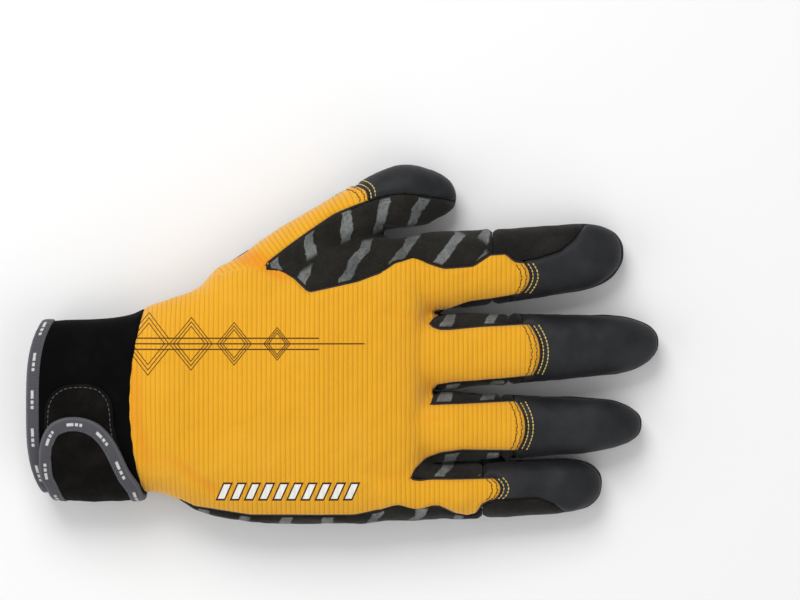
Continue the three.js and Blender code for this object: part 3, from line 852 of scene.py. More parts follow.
class Nodes:
    """Short ways to add and join the nodes of one material."""

    def __init__(self, material):
        self.material = material
        self.tree = material.node_tree
        self.shader = self.tree.nodes["Principled BSDF"]
        self.spot = 0

    def add(self, kind, **values):
        node = self.tree.nodes.new(kind)
        node.location = (-220 * (self.spot % 12) - 300, -260 * (self.spot // 12))
        self.spot += 1
        for key, value in values.items():
            setattr(node, key, value)
        return node

    def join(self, value, socket):
        """Sets a socket to a plain value, or links it to a node's output."""
        value = getattr(value, "socket", value)
        if hasattr(value, "is_linked"):
            self.tree.links.new(value, socket)
        else:
            socket.default_value = value

    def place(self):
        """The piece's own coordinates in millimetres."""
        scaled = self.add("ShaderNodeVectorMath", operation="SCALE")
        self.join(self.add("ShaderNodeTexCoord").outputs["Object"], scaled.inputs[0])
        scaled.inputs["Scale"].default_value = 1000
        return scaled.outputs[0]

    def split(self, vector):
        node = self.add("ShaderNodeSeparateXYZ")
        self.join(vector, node.inputs[0])
        return [Number(self, output) for output in node.outputs]

    def plane(self, x, y):
        """A vector from two numbers."""
        node = self.add("ShaderNodeCombineXYZ")
        self.join(x, node.inputs[0])
        self.join(y, node.inputs[1])
        return node.outputs[0]

    def value_of(self, name):
        return Number(self, self.add("ShaderNodeAttribute", attribute_name=name).outputs["Fac"])

    def math(self, operation, a, b=0.0, clamp=False):
        node = self.add("ShaderNodeMath", operation=operation, use_clamp=clamp)
        self.join(a, node.inputs[0])
        self.join(b, node.inputs[1])
        return Number(self, node.outputs[0])

    def larger(self, a, b):
        return self.math("MAXIMUM", a, b)

    def wave(self, value, pitch):
        """A sine with a wave in every pitch."""
        return self.math("SINE", value * (2 * math.pi / pitch))

    def band(self, value, start, end):
        """0 below start and 1 above end, eased between."""
        node = self.add("ShaderNodeMapRange", interpolation_type="SMOOTHSTEP", clamp=True)
        self.join(value, node.inputs["Value"])
        node.inputs["From Min"].default_value = start
        node.inputs["From Max"].default_value = end
        return Number(self, node.outputs[0])

    def below(self, value, start, end):
        """1 below start and 0 above end, eased between."""
        return self.math("SUBTRACT", 1.0, self.band(value, start, end))

    def within(self, value, low, high, soft):
        """1 between low and high, eased over a soft edge."""
        rising = self.band(value, low - soft, low + soft)
        falling = self.band(value, high - soft, high + soft)
        return self.math("SUBTRACT", rising, falling, clamp=True)

    def noise(self, vector, scale, detail=3.0, roughness=0.6):
        node = self.add("ShaderNodeTexNoise")
        self.join(vector, node.inputs["Vector"])
        node.inputs["Scale"].default_value = scale
        node.inputs["Detail"].default_value = detail
        node.inputs["Roughness"].default_value = roughness
        return Number(self, node.outputs["Fac"])

    def mix(self, share, a, b):
        """Colour a where the share is 0 and colour b where it is 1."""
        node = self.add("ShaderNodeMix", data_type="RGBA")
        self.join(share, node.inputs["Factor"])
        for value, socket in zip((a, b), [socket for socket in node.inputs if socket.type == "RGBA"]):
            self.join(value, socket)
        return [socket for socket in node.outputs if socket.type == "RGBA"][0]

    def finish(self, colour, relief, height, strength):
        """Sets the colour, and bumps the surface by a relief from 0 to 1 of a height in millimetres."""
        self.join(colour, self.shader.inputs["Base Color"])
        bump = self.add("ShaderNodeBump")
        bump.inputs["Strength"].default_value = strength
        bump.inputs["Distance"].default_value = height / 1000
        self.join(relief, bump.inputs["Height"])
        self.join(bump.outputs[0], self.shader.inputs["Normal"])
        return self.material


def srgb(red, green, blue):
    """A linear colour from 0 to 255 screen values."""
    def linear(value):
        share = value / 255
        return share / 12.92 if share <= 0.04045 else ((share + 0.055) / 1.055) ** 2.4
    return (linear(red), linear(green), linear(blue), 1.0)


YELLOW = srgb(228, 166, 28)
# Darker yellow: painted shade in the knit's rib valleys, and the random tone of its fibres
YELLOW_RIB_SHADE_AND_FIBRE = srgb(206, 138, 20)
# Orange painted shade for the valleys of the knit's folds
YELLOW_FOLD_SHADE = srgb(226, 138, 18)
YELLOW_PALE = srgb(232, 172, 46)
PRINT_INK = srgb(58, 26, 10)
MARK_WHITE = srgb(238, 236, 228)
PALM_BLACK = srgb(24, 23, 20)
PALM_WORN = srgb(42, 40, 35)
GRIP_GREY = srgb(122, 125, 123)
GRIP_DARK = srgb(86, 89, 88)
TIP_GREY = srgb(25, 26, 29)
TIP_LIGHT = srgb(39, 40, 44)
SUEDE_BLACK = srgb(20, 18, 17)
SUEDE_WORN = srgb(38, 35, 33)
RUBBER_BLACK = srgb(2, 2, 3)
RUBBER_WORN = srgb(8, 8, 9)
FIELD_BLACK = srgb(13, 12, 11)
FIELD_WORN = srgb(28, 26, 23)
TAPE_GREY = srgb(78, 78, 84)
TAPE_DARK = srgb(54, 54, 59)
# Lighter grey: painted highlight along the tapes' folded borders
TAPE_FOLD_HIGHLIGHT = srgb(98, 98, 104)
TAPE_WHITE = srgb(216, 216, 216)
THREAD_YELLOW = srgb(242, 218, 132)
THREAD_OLIVE = srgb(168, 138, 62)
THREAD_DARK = srgb(60, 36, 12)
THREAD_GREY = srgb(84, 85, 85)
WELT_DARK = srgb(48, 22, 12)
WELT_DEEP = srgb(24, 12, 8)
FLOOR_WHITE = (0.9, 0.9, 0.9, 1.0)

# The print on the back, mm from the glove's middle: open diamonds that shrink towards the fingers
CHAIN_START = -86.0
CHAIN_PITCH = 17.0
CHAIN_COUNT = 4
CHAIN_SIDE = 0.5
CHAIN_HALF_LENGTH = 10.5
CHAIN_HALF_WIDTH = 13.0
CHAIN_SHRINK = 0.16
CHAIN_LINE = 0.28
# The diamonds' nested rings, in shares of the half sizes
CHAIN_RINGS = 3
CHAIN_FIRST = 0.95
CHAIN_STEP = 0.16
# The middle thread and the two beside it. Columns: offset, reach past the last diamond
CHAIN_THREADS = [(0.0, 26), (2.2, 8)]
# A row of slanted bars near the little finger's side
BARS_START = -50.0
BARS_END = 6.0
BARS_SIDE = -58.0
BARS_HALF = 3.6
BARS_PITCH = 5.6
BARS_SLANT = 0.45
BARS_SOFT = 0.15
# Columns: half width, half height, ink
BARS_LAYERS = [(1.85, BARS_HALF, PRINT_INK), (1.2, BARS_HALF - 0.75, MARK_WHITE)]
# The grip stripes over the palm and the digits
GRIP_PITCH = 17.0
GRIP_SLANT = 0.6
GRIP_SWAY = 7.0
GRIP_JAG = 1.8
GRIP_LEAST = 0.6
GRIP_SPREAD = 3.4
# The plain dashes along the bindings
DASH_PITCH = 14.8
DASH_HALF = 0.55
DASH_SOFT = 0.12
TAPE_RIB = 0.55
# Where across the tape the painted highlight lies, mm from its middle
TAPE_HIGHLIGHT_BAND = (1.75, 2.35)
DASHES = [(1.0, 4.2), (4.9, 6.3), (7.0, 8.2)]


def knit_material(name, printed):
    """Ribbed yellow knit with painted shade in the ribs' valleys. The attribute run counts millimetres across
    the ribs.
    """
    nodes = new_material(name, 0.82, 0.35, 0.45, 0.25)
    place = nodes.place()
    x, y, _ = nodes.split(place)
    crest = abs(nodes.wave(nodes.value_of("run"), 2 * RIB_PITCH))
    valley = nodes.band(crest, 0.0, 0.55)
    loops = nodes.add("ShaderNodeTexWave", wave_type="BANDS", bands_direction="Y", wave_profile="SIN")
    nodes.join(place, loops.inputs["Vector"])
    loops.inputs["Scale"].default_value = 0.36
    loops.inputs["Distortion"].default_value = 1.2
    loops.inputs["Detail"].default_value = 2
    loops.inputs["Detail Scale"].default_value = 2.0
    patches = nodes.noise(place, 0.045, 3.0)
    fibres = nodes.noise(place, 2.4, 4.0, 0.7)
    # Painted shade: the knit turns orange where its folds sink into valleys
    painted_fold_shade = nodes.band(nodes.value_of("painted_fold_shade"), 0.1, 1.1)
    # Painted shade: the ribs' valleys are coloured darker yellow, on top of their relief
    colour = nodes.mix(valley, YELLOW_RIB_SHADE_AND_FIBRE, YELLOW)
    colour = nodes.mix(nodes.band(patches, 0.45, 0.75) * 0.35, colour, YELLOW_PALE)
    colour = nodes.mix(painted_fold_shade * 0.75, colour, YELLOW_FOLD_SHADE)
    colour = nodes.mix(nodes.band(fibres, 0.5, 0.8) * 0.22, colour, YELLOW_RIB_SHADE_AND_FIBRE)
    if printed:
        colour = add_chain(nodes, colour, x, y, valley)
        colour = add_bars(nodes, colour, x, y)
    relief = crest * 0.5 + Number(nodes, loops.outputs["Fac"]) * 0.3 + fibres * 0.3
    return nodes.finish(colour, relief, 0.16, 0.8)


def add_chain(nodes, colour, x, y, valley):
    """Nested open diamonds along a thin double line, in dark ink."""
    along = x - CHAIN_START
    number = nodes.larger(nodes.math("FLOOR", along / CHAIN_PITCH), 0.0)
    number = nodes.math("MINIMUM", number, CHAIN_COUNT - 1)
    off = abs(along - (number + 0.5) * CHAIN_PITCH)
    shrink = 1.0 - number * CHAIN_SHRINK
    side = abs(y - CHAIN_SIDE)
    reach = (off / CHAIN_HALF_LENGTH + side / CHAIN_HALF_WIDTH) / shrink
    width = CHAIN_LINE / CHAIN_HALF_WIDTH
    end = CHAIN_START + CHAIN_PITCH * CHAIN_COUNT
    lines = 0.0
    for ring in range(CHAIN_RINGS):
        away = abs(reach - (CHAIN_FIRST - ring * CHAIN_STEP)) * shrink
        lines = nodes.larger(lines, nodes.below(away, 0.75 * width, 1.25 * width))
    for offset, beyond in CHAIN_THREADS:
        thread = nodes.below(abs(side - offset), 0.7 * CHAIN_LINE, 1.2 * CHAIN_LINE)
        lines = nodes.larger(lines, thread * nodes.within(x, CHAIN_START - 1, end + beyond, 0.3))
    lines = lines * nodes.within(x, CHAIN_START, end + CHAIN_THREADS[0][1] + 1, 0.3)
    return nodes.mix(lines * (valley * 0.18 + 0.8), colour, PRINT_INK)


def add_bars(nodes, colour, x, y):
    """A row of slanted white bars with dark edges."""
    side = y - BARS_SIDE
    slanted = x - side * BARS_SLANT
    off = abs((slanted + 400 * BARS_PITCH) % BARS_PITCH - BARS_PITCH / 2)
    span = nodes.within(slanted, BARS_START, BARS_END, 0.05)
    for half_width, half_height, ink in BARS_LAYERS:
        wide = nodes.below(off, half_width, half_width + BARS_SOFT)
        high = nodes.below(abs(side), half_height, half_height + BARS_SOFT)
        colour = nodes.mix(wide * high * span, colour, ink)
    return colour


def grip_stripe(nodes, place):
    """1 on the slanting grip stripes of uneven width, less where they are rubbed off."""
    run = nodes.value_of("run")
    side = nodes.value_of("side")
    sway = (nodes.noise(nodes.plane(side, run * 0.25), 0.11, 2.0) - 0.5) * GRIP_SWAY
    jag = (nodes.noise(place, 0.55, 4.0, 0.75) - 0.5) * GRIP_JAG
    turn = (run + sway - side * GRIP_SLANT + 100 * GRIP_PITCH) % GRIP_PITCH
    off = abs(turn - GRIP_PITCH / 2) + jag
    width = nodes.noise(nodes.plane(run * 0.06, side), 0.12, 2.0) * GRIP_SPREAD + GRIP_LEAST
    rubbed = nodes.band(nodes.noise(place, 0.9, 5.0, 0.8), 0.33, 0.5)
    stripe = nodes.below(off - width, -0.25, 0.25) * (rubbed * 0.65 + 0.35)
    return stripe * nodes.band(nodes.value_of("edge"), 0.5, 1.1) * nodes.value_of("clear")


def leather_material(name, dark, worn, striped):
    """Brushed synthetic leather, with or without printed grip stripes."""
    nodes = new_material(name, 0.86, 0.08, 0.5, 0.14)
    place = nodes.place()
    cloudy = nodes.noise(place, 0.09, 4.0, 0.65)
    nap = nodes.noise(place, 1.1, 5.0, 0.75)
    colour = nodes.mix(nodes.band(cloudy * 0.55 + nap * 0.5, 0.4, 0.72), dark, worn)
    relief = nap
    if striped:
        stripe = grip_stripe(nodes, place)
        colour = nodes.mix(stripe, colour, nodes.mix(nodes.band(cloudy, 0.35, 0.65), GRIP_DARK, GRIP_GREY))
        nodes.join(0.88 - stripe * 0.24, nodes.shader.inputs["Roughness"])
        relief = nap + stripe * 0.7
    return nodes.finish(colour, relief, 0.3, 0.75)


def tip_material():
    """Smooth matt synthetic, a little lighter where it is rubbed."""
    nodes = new_material("tip_fabric", 0.56, 0.05, 0.4, 0.26)
    place = nodes.place()
    cloudy = nodes.noise(place, 0.07, 3.0)
    pores = nodes.noise(place, 3.2, 3.0, 0.6)
    colour = nodes.mix(nodes.band(cloudy, 0.35, 0.75), TIP_GREY, TIP_LIGHT)
    colour = nodes.mix(nodes.band(pores, 0.55, 0.8) * 0.3, colour, TIP_GREY)
    nodes.join(cloudy * 0.16 + 0.5, nodes.shader.inputs["Roughness"])
    return nodes.finish(colour, pores + cloudy * 1.5, 0.12, 0.6)


def woven_material(name, dark, worn, pitch, roughness, height):
    """A fine weave or jersey seen as small crossing waves."""
    nodes = new_material(name, roughness, 0.02, 0.5, 0.06)
    place = nodes.place()
    x, y, z = nodes.split(place)
    weave = nodes.wave(x + z * 0.6, pitch) * nodes.wave(y + z * 0.8, pitch) * 0.5 + 0.5
    cloudy = nodes.noise(place, 0.12, 4.0)
    fibres = nodes.noise(place, 2.6, 4.0, 0.7)
    colour = nodes.mix(nodes.band(cloudy * 0.6 + fibres * 0.4, 0.42, 0.72), dark, worn)
    return nodes.finish(colour, weave * 0.6 + fibres * 0.5, height, 0.7)


def tape_material():
    """Grey woven tape with a painted highlight along its folded borders and plain white dashes along its
    middle.
    """
    nodes = new_material("tape", 0.78, 0.15, 0.5, 0.35)
    place = nodes.place()
    run = nodes.value_of("run")
    side = nodes.value_of("side")
    rib = abs(nodes.wave(run, 2 * TAPE_RIB))
    fibres = nodes.noise(place, 2.2, 4.0, 0.7)
    colour = nodes.mix(nodes.band(rib * 0.5 + fibres * 0.6, 0.25, 0.8), TAPE_DARK, TAPE_GREY)
    # Painted highlight: a lighter band near each folded border of the tape
    colour = nodes.mix(nodes.within(abs(side), *TAPE_HIGHLIGHT_BAND, 0.2) * 0.55, colour, TAPE_FOLD_HIGHLIGHT)
    marks = 0.0
    for start, end in DASHES:
        marks = nodes.larger(marks, nodes.within(run % DASH_PITCH, start, end, DASH_SOFT))
    marks = marks * nodes.band(nodes.value_of("face"), 0.4, 0.9)
    marks = marks * nodes.within(side, -DASH_HALF, DASH_HALF, DASH_SOFT)
    worn = nodes.band(fibres, 0.3, 0.6) * 0.45 + 0.5
    colour = nodes.mix(marks * worn, colour, TAPE_WHITE)
    return nodes.finish(colour, rib * 0.6 + fibres, 0.16, 0.7)


def thread_material(name, colour, deep):
    """Twisted sewing thread."""
    nodes = new_material(name, 0.6, 0.3, 0.4, 0.4)
    twist = nodes.noise(nodes.place(), 2.5, 2.0)
    return nodes.finish(nodes.mix(nodes.band(twist, 0.35, 0.7), deep, colour), twist, 0.1, 0.5)


MATERIALS = {
    "knit": knit_material("knit_back", True),
    "thumb_knit": knit_material("knit_thumb", False),
    "palm": leather_material("palm_leather", PALM_BLACK, PALM_WORN, True),
    "suede": leather_material("suede", SUEDE_BLACK, SUEDE_WORN, False),
    "tip": tip_material(),
    "neoprene": woven_material("neoprene", RUBBER_BLACK, RUBBER_WORN, 0.9, 0.8, 0.14),
    "field": woven_material("loop_fabric", FIELD_BLACK, FIELD_WORN, 1.3, 0.92, 0.3),
    "tape": tape_material(),
    "yellow_thread": thread_material("thread_yellow", THREAD_YELLOW, THREAD_OLIVE),
    "dark_thread": thread_material("thread_dark", THREAD_DARK, WELT_DARK),
    "grey_thread": thread_material("thread_grey", THREAD_GREY, TAPE_DARK),
    "welt": thread_material("welt", WELT_DARK, WELT_DEEP),
}


def dress(piece, material, slot, *nodes):
    """Gives a finished piece its material and its body, and hides the frame's nodes that it stands for."""
    piece.data.materials.append(MATERIALS[material])
    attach(piece, "root")
    if nodes:
        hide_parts(*nodes)


# Smooth panels: the palm, the fingertips and their pads


def not_in(points, levels):
    return -np.max([level(points) for level in levels], axis=0) - SEAM_GAP


def tip_level(name):
    def level(points):
        knit = thumb_knit_inside if name == "thumb" else knit_inside
        return np.minimum(over_seam(points, [TIP_OUTLINES[name]]), not_in(points, [knit]))
    return level


TIP_LEVELS = {name: tip_level(name) for name in [*FINGERS, "thumb"]}


def pad_level(name):
    def level(points):
        own = inside_outline(points[:, :2], PAD_OUTLINES[name])
        return np.minimum(own, not_in(points, [TIP_LEVELS[name], knit_inside]))
    return level


PAD_LEVELS = {name: pad_level(name) for name in FINGERS}


def palm_level(points):
    panels = [knit_inside, thumb_knit_inside, *TIP_LEVELS.values(), *PAD_LEVELS.values()]
    return np.minimum(not_in(points, panels), wrist_inside(points))


def thumb_knit_level(points):
    level = np.minimum(thumb_knit_inside(points), not_in(points, [knit_inside]))
    return np.minimum(level, wrist_inside(points))


# The thumb's stripes are moved along it. Where their coordinates jump to the hand's, none is printed, mm
STRIPE_SHIFT = 6
CLEAR_START = 0.6
CLEAR_WIDTH = 2.4


def digit_run(points):
    """Millimetres along and across each point's own digit, and how clear it is of the other one."""
    at, out = thumb_coordinates(points[:, :2])
    thumb = thumb_distance(points)
    hand = hand_distance(points)
    run = np.where(thumb < hand, at * THUMB_RUN + STRIPE_SHIFT, points[:, 0])
    side = np.where(thumb < hand, out, points[:, 1])
    clear = ease((np.abs(thumb - hand) - CLEAR_START) / CLEAR_WIDTH)
    return {"run": run, "side": side, "clear": clear}


# The panels that stitches lie on
SURFACES = []
# The soft waves of leather. Columns: share of the panel's relief, length (mm)
LEATHER_WAVES = [(1, 22), (0.35, 8)]
# Folds start at this height over the floor and reach their full depth this much higher, mm
FOLD_START = 3
FOLD_RISE = 5


def smooth_panel(name, level, material, slot, roll, crown, relief_height, seed):
    points, faces = cut(SKIN_POINTS, SKIN_TRIANGLES, level)
    relief = folds(points, PALM_FOLDS) * ease((points[:, 2] - FOLD_START) / FOLD_RISE)
    for i, (share, length) in enumerate(LEATHER_WAVES):
        relief = relief + relief_height * share * ripples(points, length, seed + i)
    piece, outer = cloth(name, points, normals_of(points), faces, PALM_WALL, roll, 2 * roll, crown, relief)
    SURFACES.append((outer, faces.tolist()))
    for key, values in digit_run(points).items():
        set_on_both(piece, key, values)
    dress(piece, material, slot, name)


smooth_panel("palm_panel", palm_level, "palm", "palm_leather", 1.1, 0.0, 0.3, 11)
for number, name in enumerate([*FINGERS, "thumb"]):
    smooth_panel(f"fingertip_{name}", TIP_LEVELS[name], "tip", "tip_fabric", 1.2, 0.5, 0.22, 30 + number)
for number, name in enumerate(FINGERS):
    smooth_panel(f"tip_pad_{name}", PAD_LEVELS[name], "suede", "suede", 1.2, 0.0, 0.2, 50 + number)


# Knitted panels: grids whose rows run across the hand or the thumb, one rib after another


# Where the knit starts at the wrist, and from where its strips lie over the plan of the fingers, mm
KNIT_START = CUFF_LENGTH + SEAM_GAP
FLAT_START = 148.0
FLAT_BLEND = 14.0
# The bow of the wrist's seam fades over a length, and so does the bow of each strip's end, mm
BOW_FADE = 30
END_FADE = 16
THUMB_END_FADE = 12
# About how wide the strips are in millimetres, and their columns apart from those at the edges
STRIP_WIDTH = 24.0
STRIP_COLUMNS = 15
THUMB_STRIP_WIDTH = 30.0
THUMB_STRIP_COLUMNS = 20
# Over how many rows the strips' edges are smoothed, to each side
OUTER_SMOOTHING = 6
INNER_SMOOTHING = 2
# The knit's edge roll, the roll's width, its crown and its soft waves. Columns: height, length (mm)
KNIT_EDGE = (1.1, 2.2, 0.2)
KNIT_WAVES = [(0.35, 30), (0.12, 9)]
# How far from the hand's outline a strip's edge already runs down to the seam, mm
THUMB_SIDE_REACH = 1.2
LITTLE_SIDE_REACH = 0.4
# Shares of a finger before which its outer edge is the hand's own
INDEX_EDGE_START = 0.1
LITTLE_EDGE_START = 0.08


def rib_relief(run):
    return RIB_HEIGHT * (np.abs(np.sin(np.pi * run / RIB_PITCH)) ** 0.7 - 0.6)


def shares_between(width, inner_count):
    """Shares across a strip, closer together at its edges."""
    close = np.array([0.0, 0.4, 0.9, 1.6]) / width
    inner = np.linspace(2.6 / width, 1 - 2.6 / width, inner_count)
    return np.concatenate([close, inner, 1 - close[::-1]])


def section_line(section, angle, power):
    """Points round a section's middle at some angles, as out and up from the floor."""
    up = signed_power(np.sin(angle), 2 / power)
    out = section["half"] * signed_power(np.cos(angle), 2 / power)
    return np.stack([out, section["middle"] + np.where(up > 0, section["rise"], section["sag"]) * up], 1)


def on_section(line, run, place, reach=0.05):
    """Points at some lengths along a section's line, and the ways out of it."""
    ahead = along_line(place + reach, run, line) - along_line(place - reach, run, line)
    return along_line(place, run, line), unit(np.stack([ahead[:, 1], -ahead[:, 0]], 1))


def hand_row(x):
    """The line round the hand from its thumb side to its little side, and where the seams lie on it."""
    section = {key: float(value) for key, value in hand_section(np.array(x)).items()}
    angle = np.radians(np.linspace(-70, 250, 641))
    line = section_line(section, angle, section["power"])
    line[:, 0] += section["y"]
    run = run_along(line)
    middle = len(angle) // 2
    upper = (angle >= 0) & (angle <= math.pi)
    return {
        "section": section,
        "line": line,
        "run": run,
        "upper_y": line[upper, 0],
        "upper_run": run[upper],
        "thumb_seam": np.interp(SEAM_HEIGHT, line[:middle, 1], run[:middle]),
        "little_seam": np.interp(-SEAM_HEIGHT, -line[middle:, 1], run[middle:]),
    }


def strip_edges(x):
    """Plan sides of the knit's strips at one place along the hand: thumb side and little side of each."""
    hand_thumb = float(straight(KNIT_THUMB_EDGE, x / GLOVE_LENGTH)) * HAND_WIDTH
    hand_little = float(straight(KNIT_LITTLE_EDGE, x / GLOVE_LENGTH)) * HAND_WIDTH
    edges = []
    for finger in FINGERS.values():
        at = max(float(finger_at(finger, x)), 0.0)
        section = finger_section(finger, np.array(at))
        thumb_side = float(section["y"] + straight(finger["thumb_edge"], at) * section["full_half"])
        little_side = float(section["y"] + straight(finger["little_edge"], at) * section["full_half"])
        edges.append([thumb_side, little_side])
    if x < KNIT_THUMB_EDGE[-1][0] * GLOVE_LENGTH:
        started = finger_at(FINGERS["index"], x) > INDEX_EDGE_START
        edges[0][0] = max(hand_thumb, edges[0][0]) if started else hand_thumb
    if x < KNIT_LITTLE_EDGE[-1][0] * GLOVE_LENGTH:
        started = finger_at(FINGERS["little"], x) > LITTLE_EDGE_START
        edges[3][1] = min(hand_little, edges[3][1]) if started else hand_little
    corner = KNIT_LITTLE_EDGE[-1]
    other = KNIT_THUMB_EDGE[-1]
    for i in range(3):
        above = edges[i][1]
        beneath = edges[i + 1][0]
        share = ((above + beneath) / 2 / HAND_WIDTH - corner[1]) / (other[1] - corner[1])
        hand_end = lerp(corner[0], other[0], share) * GLOVE_LENGTH
        if x < hand_end or above < beneath:
            edges[i][1] = edges[i + 1][0] = (above + beneath) / 2
    return edges


def smooth_columns(values, width):
    """Each column of numbers averaged over its neighbours."""
    kernel = np.hanning(2 * width + 3)[1:-1]
    kernel /= kernel.sum()
    padded = np.pad(values, ((width, width), (0, 0)), mode="edge")
    return np.stack([np.convolve(padded[:, i], kernel, mode="valid") for i in range(values.shape[1])], 1)


def strip_arcs(index, sides, rows):
    """Lengths round the hand of a strip's two edges. The outermost ones run down to the seam."""
    arcs = np.array([np.interp(-side, -row["upper_y"], row["upper_run"]) for side, row in zip(sides, rows)])
    for i, row in enumerate(rows):
        if index == 0 and sides[i, 0] > row["upper_y"].max() - THUMB_SIDE_REACH:
            arcs[i, 0] = row["thumb_seam"]
        if index == 3 and sides[i, 1] < row["upper_y"].min() + LITTLE_SIDE_REACH:
            arcs[i, 1] = row["little_seam"]
    softer = smooth_columns(arcs, OUTER_SMOOTHING)
    arcs = smooth_columns(arcs, INNER_SMOOTHING)
    if index == 0:
        arcs[:, 0] = softer[:, 0]
    if index == 3:
        arcs[:, 1] = softer[:, 1]
    return arcs


def strip_row(x, row, arcs, sides, shares):
    """Places and ways out, in Y and Z, across a strip at one place along the hand."""
    line, ways = on_section(row["line"], row["run"], lerp(arcs[0], arcs[1], shares))
    if x > FLAT_START:
        share = ease((x - FLAT_START) / FLAT_BLEND)
        flat = np.column_stack([lerp(sides[0], sides[1], shares), np.full(len(shares), CORE_HEIGHT)])
        return lerp(line, flat, share), unit(lerp(ways, UP[1:], share))
    return line, ways


def knit_strip(index, finger):
    """One finger's strip of the knit, from the wrist to its end on the finger."""
    end_rows = end_line(finger["thumb_edge"], finger["little_edge"], KNIT_END_BOW)
    ends = np.array([finger_x(finger, at) for at, _ in end_rows])
    last = ends.mean()
    runs = np.append(np.arange(KNIT_START, last, RIB_STEP), last)
    sides = np.array([strip_edges(x)[index] for x in runs])
    rows = [hand_row(x) for x in runs]
    arcs = strip_arcs(index, sides, rows)
    shares = shares_between(STRIP_WIDTH, STRIP_COLUMNS)
    end_shift = np.interp(shares, np.linspace(0, 1, len(ends)), ends) - last
    base = np.empty((len(runs), len(shares), 3))
    ways = np.zeros_like(base)
    for i, x in enumerate(runs):
        line, ways[i, :, 1:] = strip_row(x, rows[i], arcs[i], sides[i], shares)
        section = rows[i]["section"]
        bow = CUFF_BOW * np.clip(np.abs(line[:, 0] - section["y"]) / section["half"], 0, 1) ** 2
        shift = bow * (1 - ease((x - KNIT_START) / BOW_FADE)) + end_shift * ease((x - last) / END_FADE + 1)
        base[i] = np.column_stack([x + shift, line])
    points = onto_form(base.reshape(-1, 3), ways.reshape(-1, 3), inside=9.0, outside=31.0)
    return points, grid_quads(len(runs), len(shares)).tolist()


def back_panel():
    points, faces = stacked([knit_strip(index, finger) for index, finger in enumerate(FINGERS.values())])
    points, faces = merged(points, np.array(faces), 0.02)
    finish_knit("back_panel", points, faces, points[:, 0] - KNIT_START, "knit", 71)


def merged(points, faces, distance):
    """The mesh with points that meet made one."""
    keys = np.round(points / distance).astype(np.int64)
    _, first, places = np.unique(keys, axis=0, return_index=True, return_inverse=True)
    faces = places.reshape(-1)[faces]
    kept = [len(set(face)) == 4 for face in faces.tolist()]
    return points[first], faces[kept]


# The knitted panels' edges, along which they are sewn to leather
WELTS = []


def finish_knit(name, points, faces, run, material, seed):
    across = np.cross(points[faces[:, 1]] - points[faces[:, 0]], points[faces[:, 2]] - points[faces[:, 0]])
    if across[:, 2].mean() < 0:
        faces = faces[:, ::-1]
    normals = normals_of(points)
    fold = folds(points, KNIT_FOLDS)
    relief = rib_relief(run) + fold
    for i, (height, length) in enumerate(KNIT_WAVES):
        relief = relief + height * ripples(points, length, seed + i)
    piece, outer = cloth(name, points, normals, faces, KNIT_WALL, *KNIT_EDGE, relief)
    set_on_both(piece, "run", run)
    # The depth of the folds' valleys, which the knit's material paints as orange shade
    set_on_both(piece, "painted_fold_shade", np.maximum(-fold, 0))
    SURFACES.append((outer, faces.tolist()))
    dress(piece, material, "knit", name)
    WELTS.append((outer, faces, normals, thumb_knit_inside if name == "back_panel" else knit_inside))


def thumb_row(section, inner, shares):
    """Places and ways out across the thumb, from its seam to the knit's inner edge."""
    line = section_line(section, np.radians(np.linspace(-60, 180, 241)), FINGER_POWER)
    run = run_along(line)
    widest = int(line[:, 0].argmax())
    start = np.interp(SEAM_HEIGHT, line[:widest, 1], run[:widest])
    end = np.interp(-inner, -line[widest:, 0], run[widest:])
    return on_section(line, run, lerp(start, end, shares))


def thumb_back():
    ends = np.array([at for at, _ in end_line(THUMB_KNIT_OUTER, THUMB_KNIT_INNER, THUMB_KNIT_BOW)])
    last = ends.mean() * THUMB_RUN
    runs = np.append(np.arange(0, last, RIB_STEP), last)
    shares = shares_between(THUMB_STRIP_WIDTH, THUMB_STRIP_COLUMNS)
    at = runs / THUMB_RUN
    section = thumb_section(at)
    place, heading = thumb_place(at)
    inner = straight(THUMB_KNIT_INNER, at) * section["full_half"]
    end_shift = np.interp(shares, np.linspace(0, 1, len(ends)), ends) * THUMB_RUN - last
    base = np.empty((len(runs), len(shares), 3))
    ways = np.empty_like(base)
    for i, run in enumerate(runs):
        line, way = thumb_row({key: float(value[i]) for key, value in section.items()}, inner[i], shares)
        outward = np.array([-heading[i, 1], heading[i, 0]])
        shift = end_shift * ease((run - last) / THUMB_END_FADE + 1)
        base[i, :, :2] = place[i] + line[:, :1] * outward + shift[:, None] * heading[i]
        base[i, :, 2] = line[:, 1]
        ways[i] = np.column_stack([way[:, :1] * outward, way[:, 1]])
    points = onto_form(base.reshape(-1, 3), ways.reshape(-1, 3), inside=6.0, outside=14.0)
    known = {tuple(np.round(point, 5)): run for point, run in zip(points, np.repeat(runs, len(shares)))}
    points, faces = cut(points, split_quads(grid_quads(len(runs), len(shares))), thumb_knit_level)
    at, _ = thumb_coordinates(points[:, :2])
    run = np.array([known.get(tuple(np.round(point, 5)), share * THUMB_RUN)
                    for point, share in zip(points, at)])
    finish_knit("thumb_back", points, faces, run, "thumb_knit", 81)


back_panel()
thumb_back()


# The cuff and what is sewn to it. Its surface is unrolled: x along the glove and q round the wrist from the
# middle of the back towards the little finger's side, with an offset out of the surface

CUFF_WALL = 2.6
CUFF_MIDDLE = -0.2105
CUFF_REFERENCE = 0.65 * CUFF_LENGTH
CUFF_OVERLAP = 1.4
CUFF_ROLL = 0.6
CUFF_WAVE = 0.252
CUFF_INNER_WAVE = 0.084
GATHERS = 23
GATHER_HEIGHT = 0.175
GATHER_START = 0.86
OPENING_POWER = 3.6
SEAM_POWER = 2.0


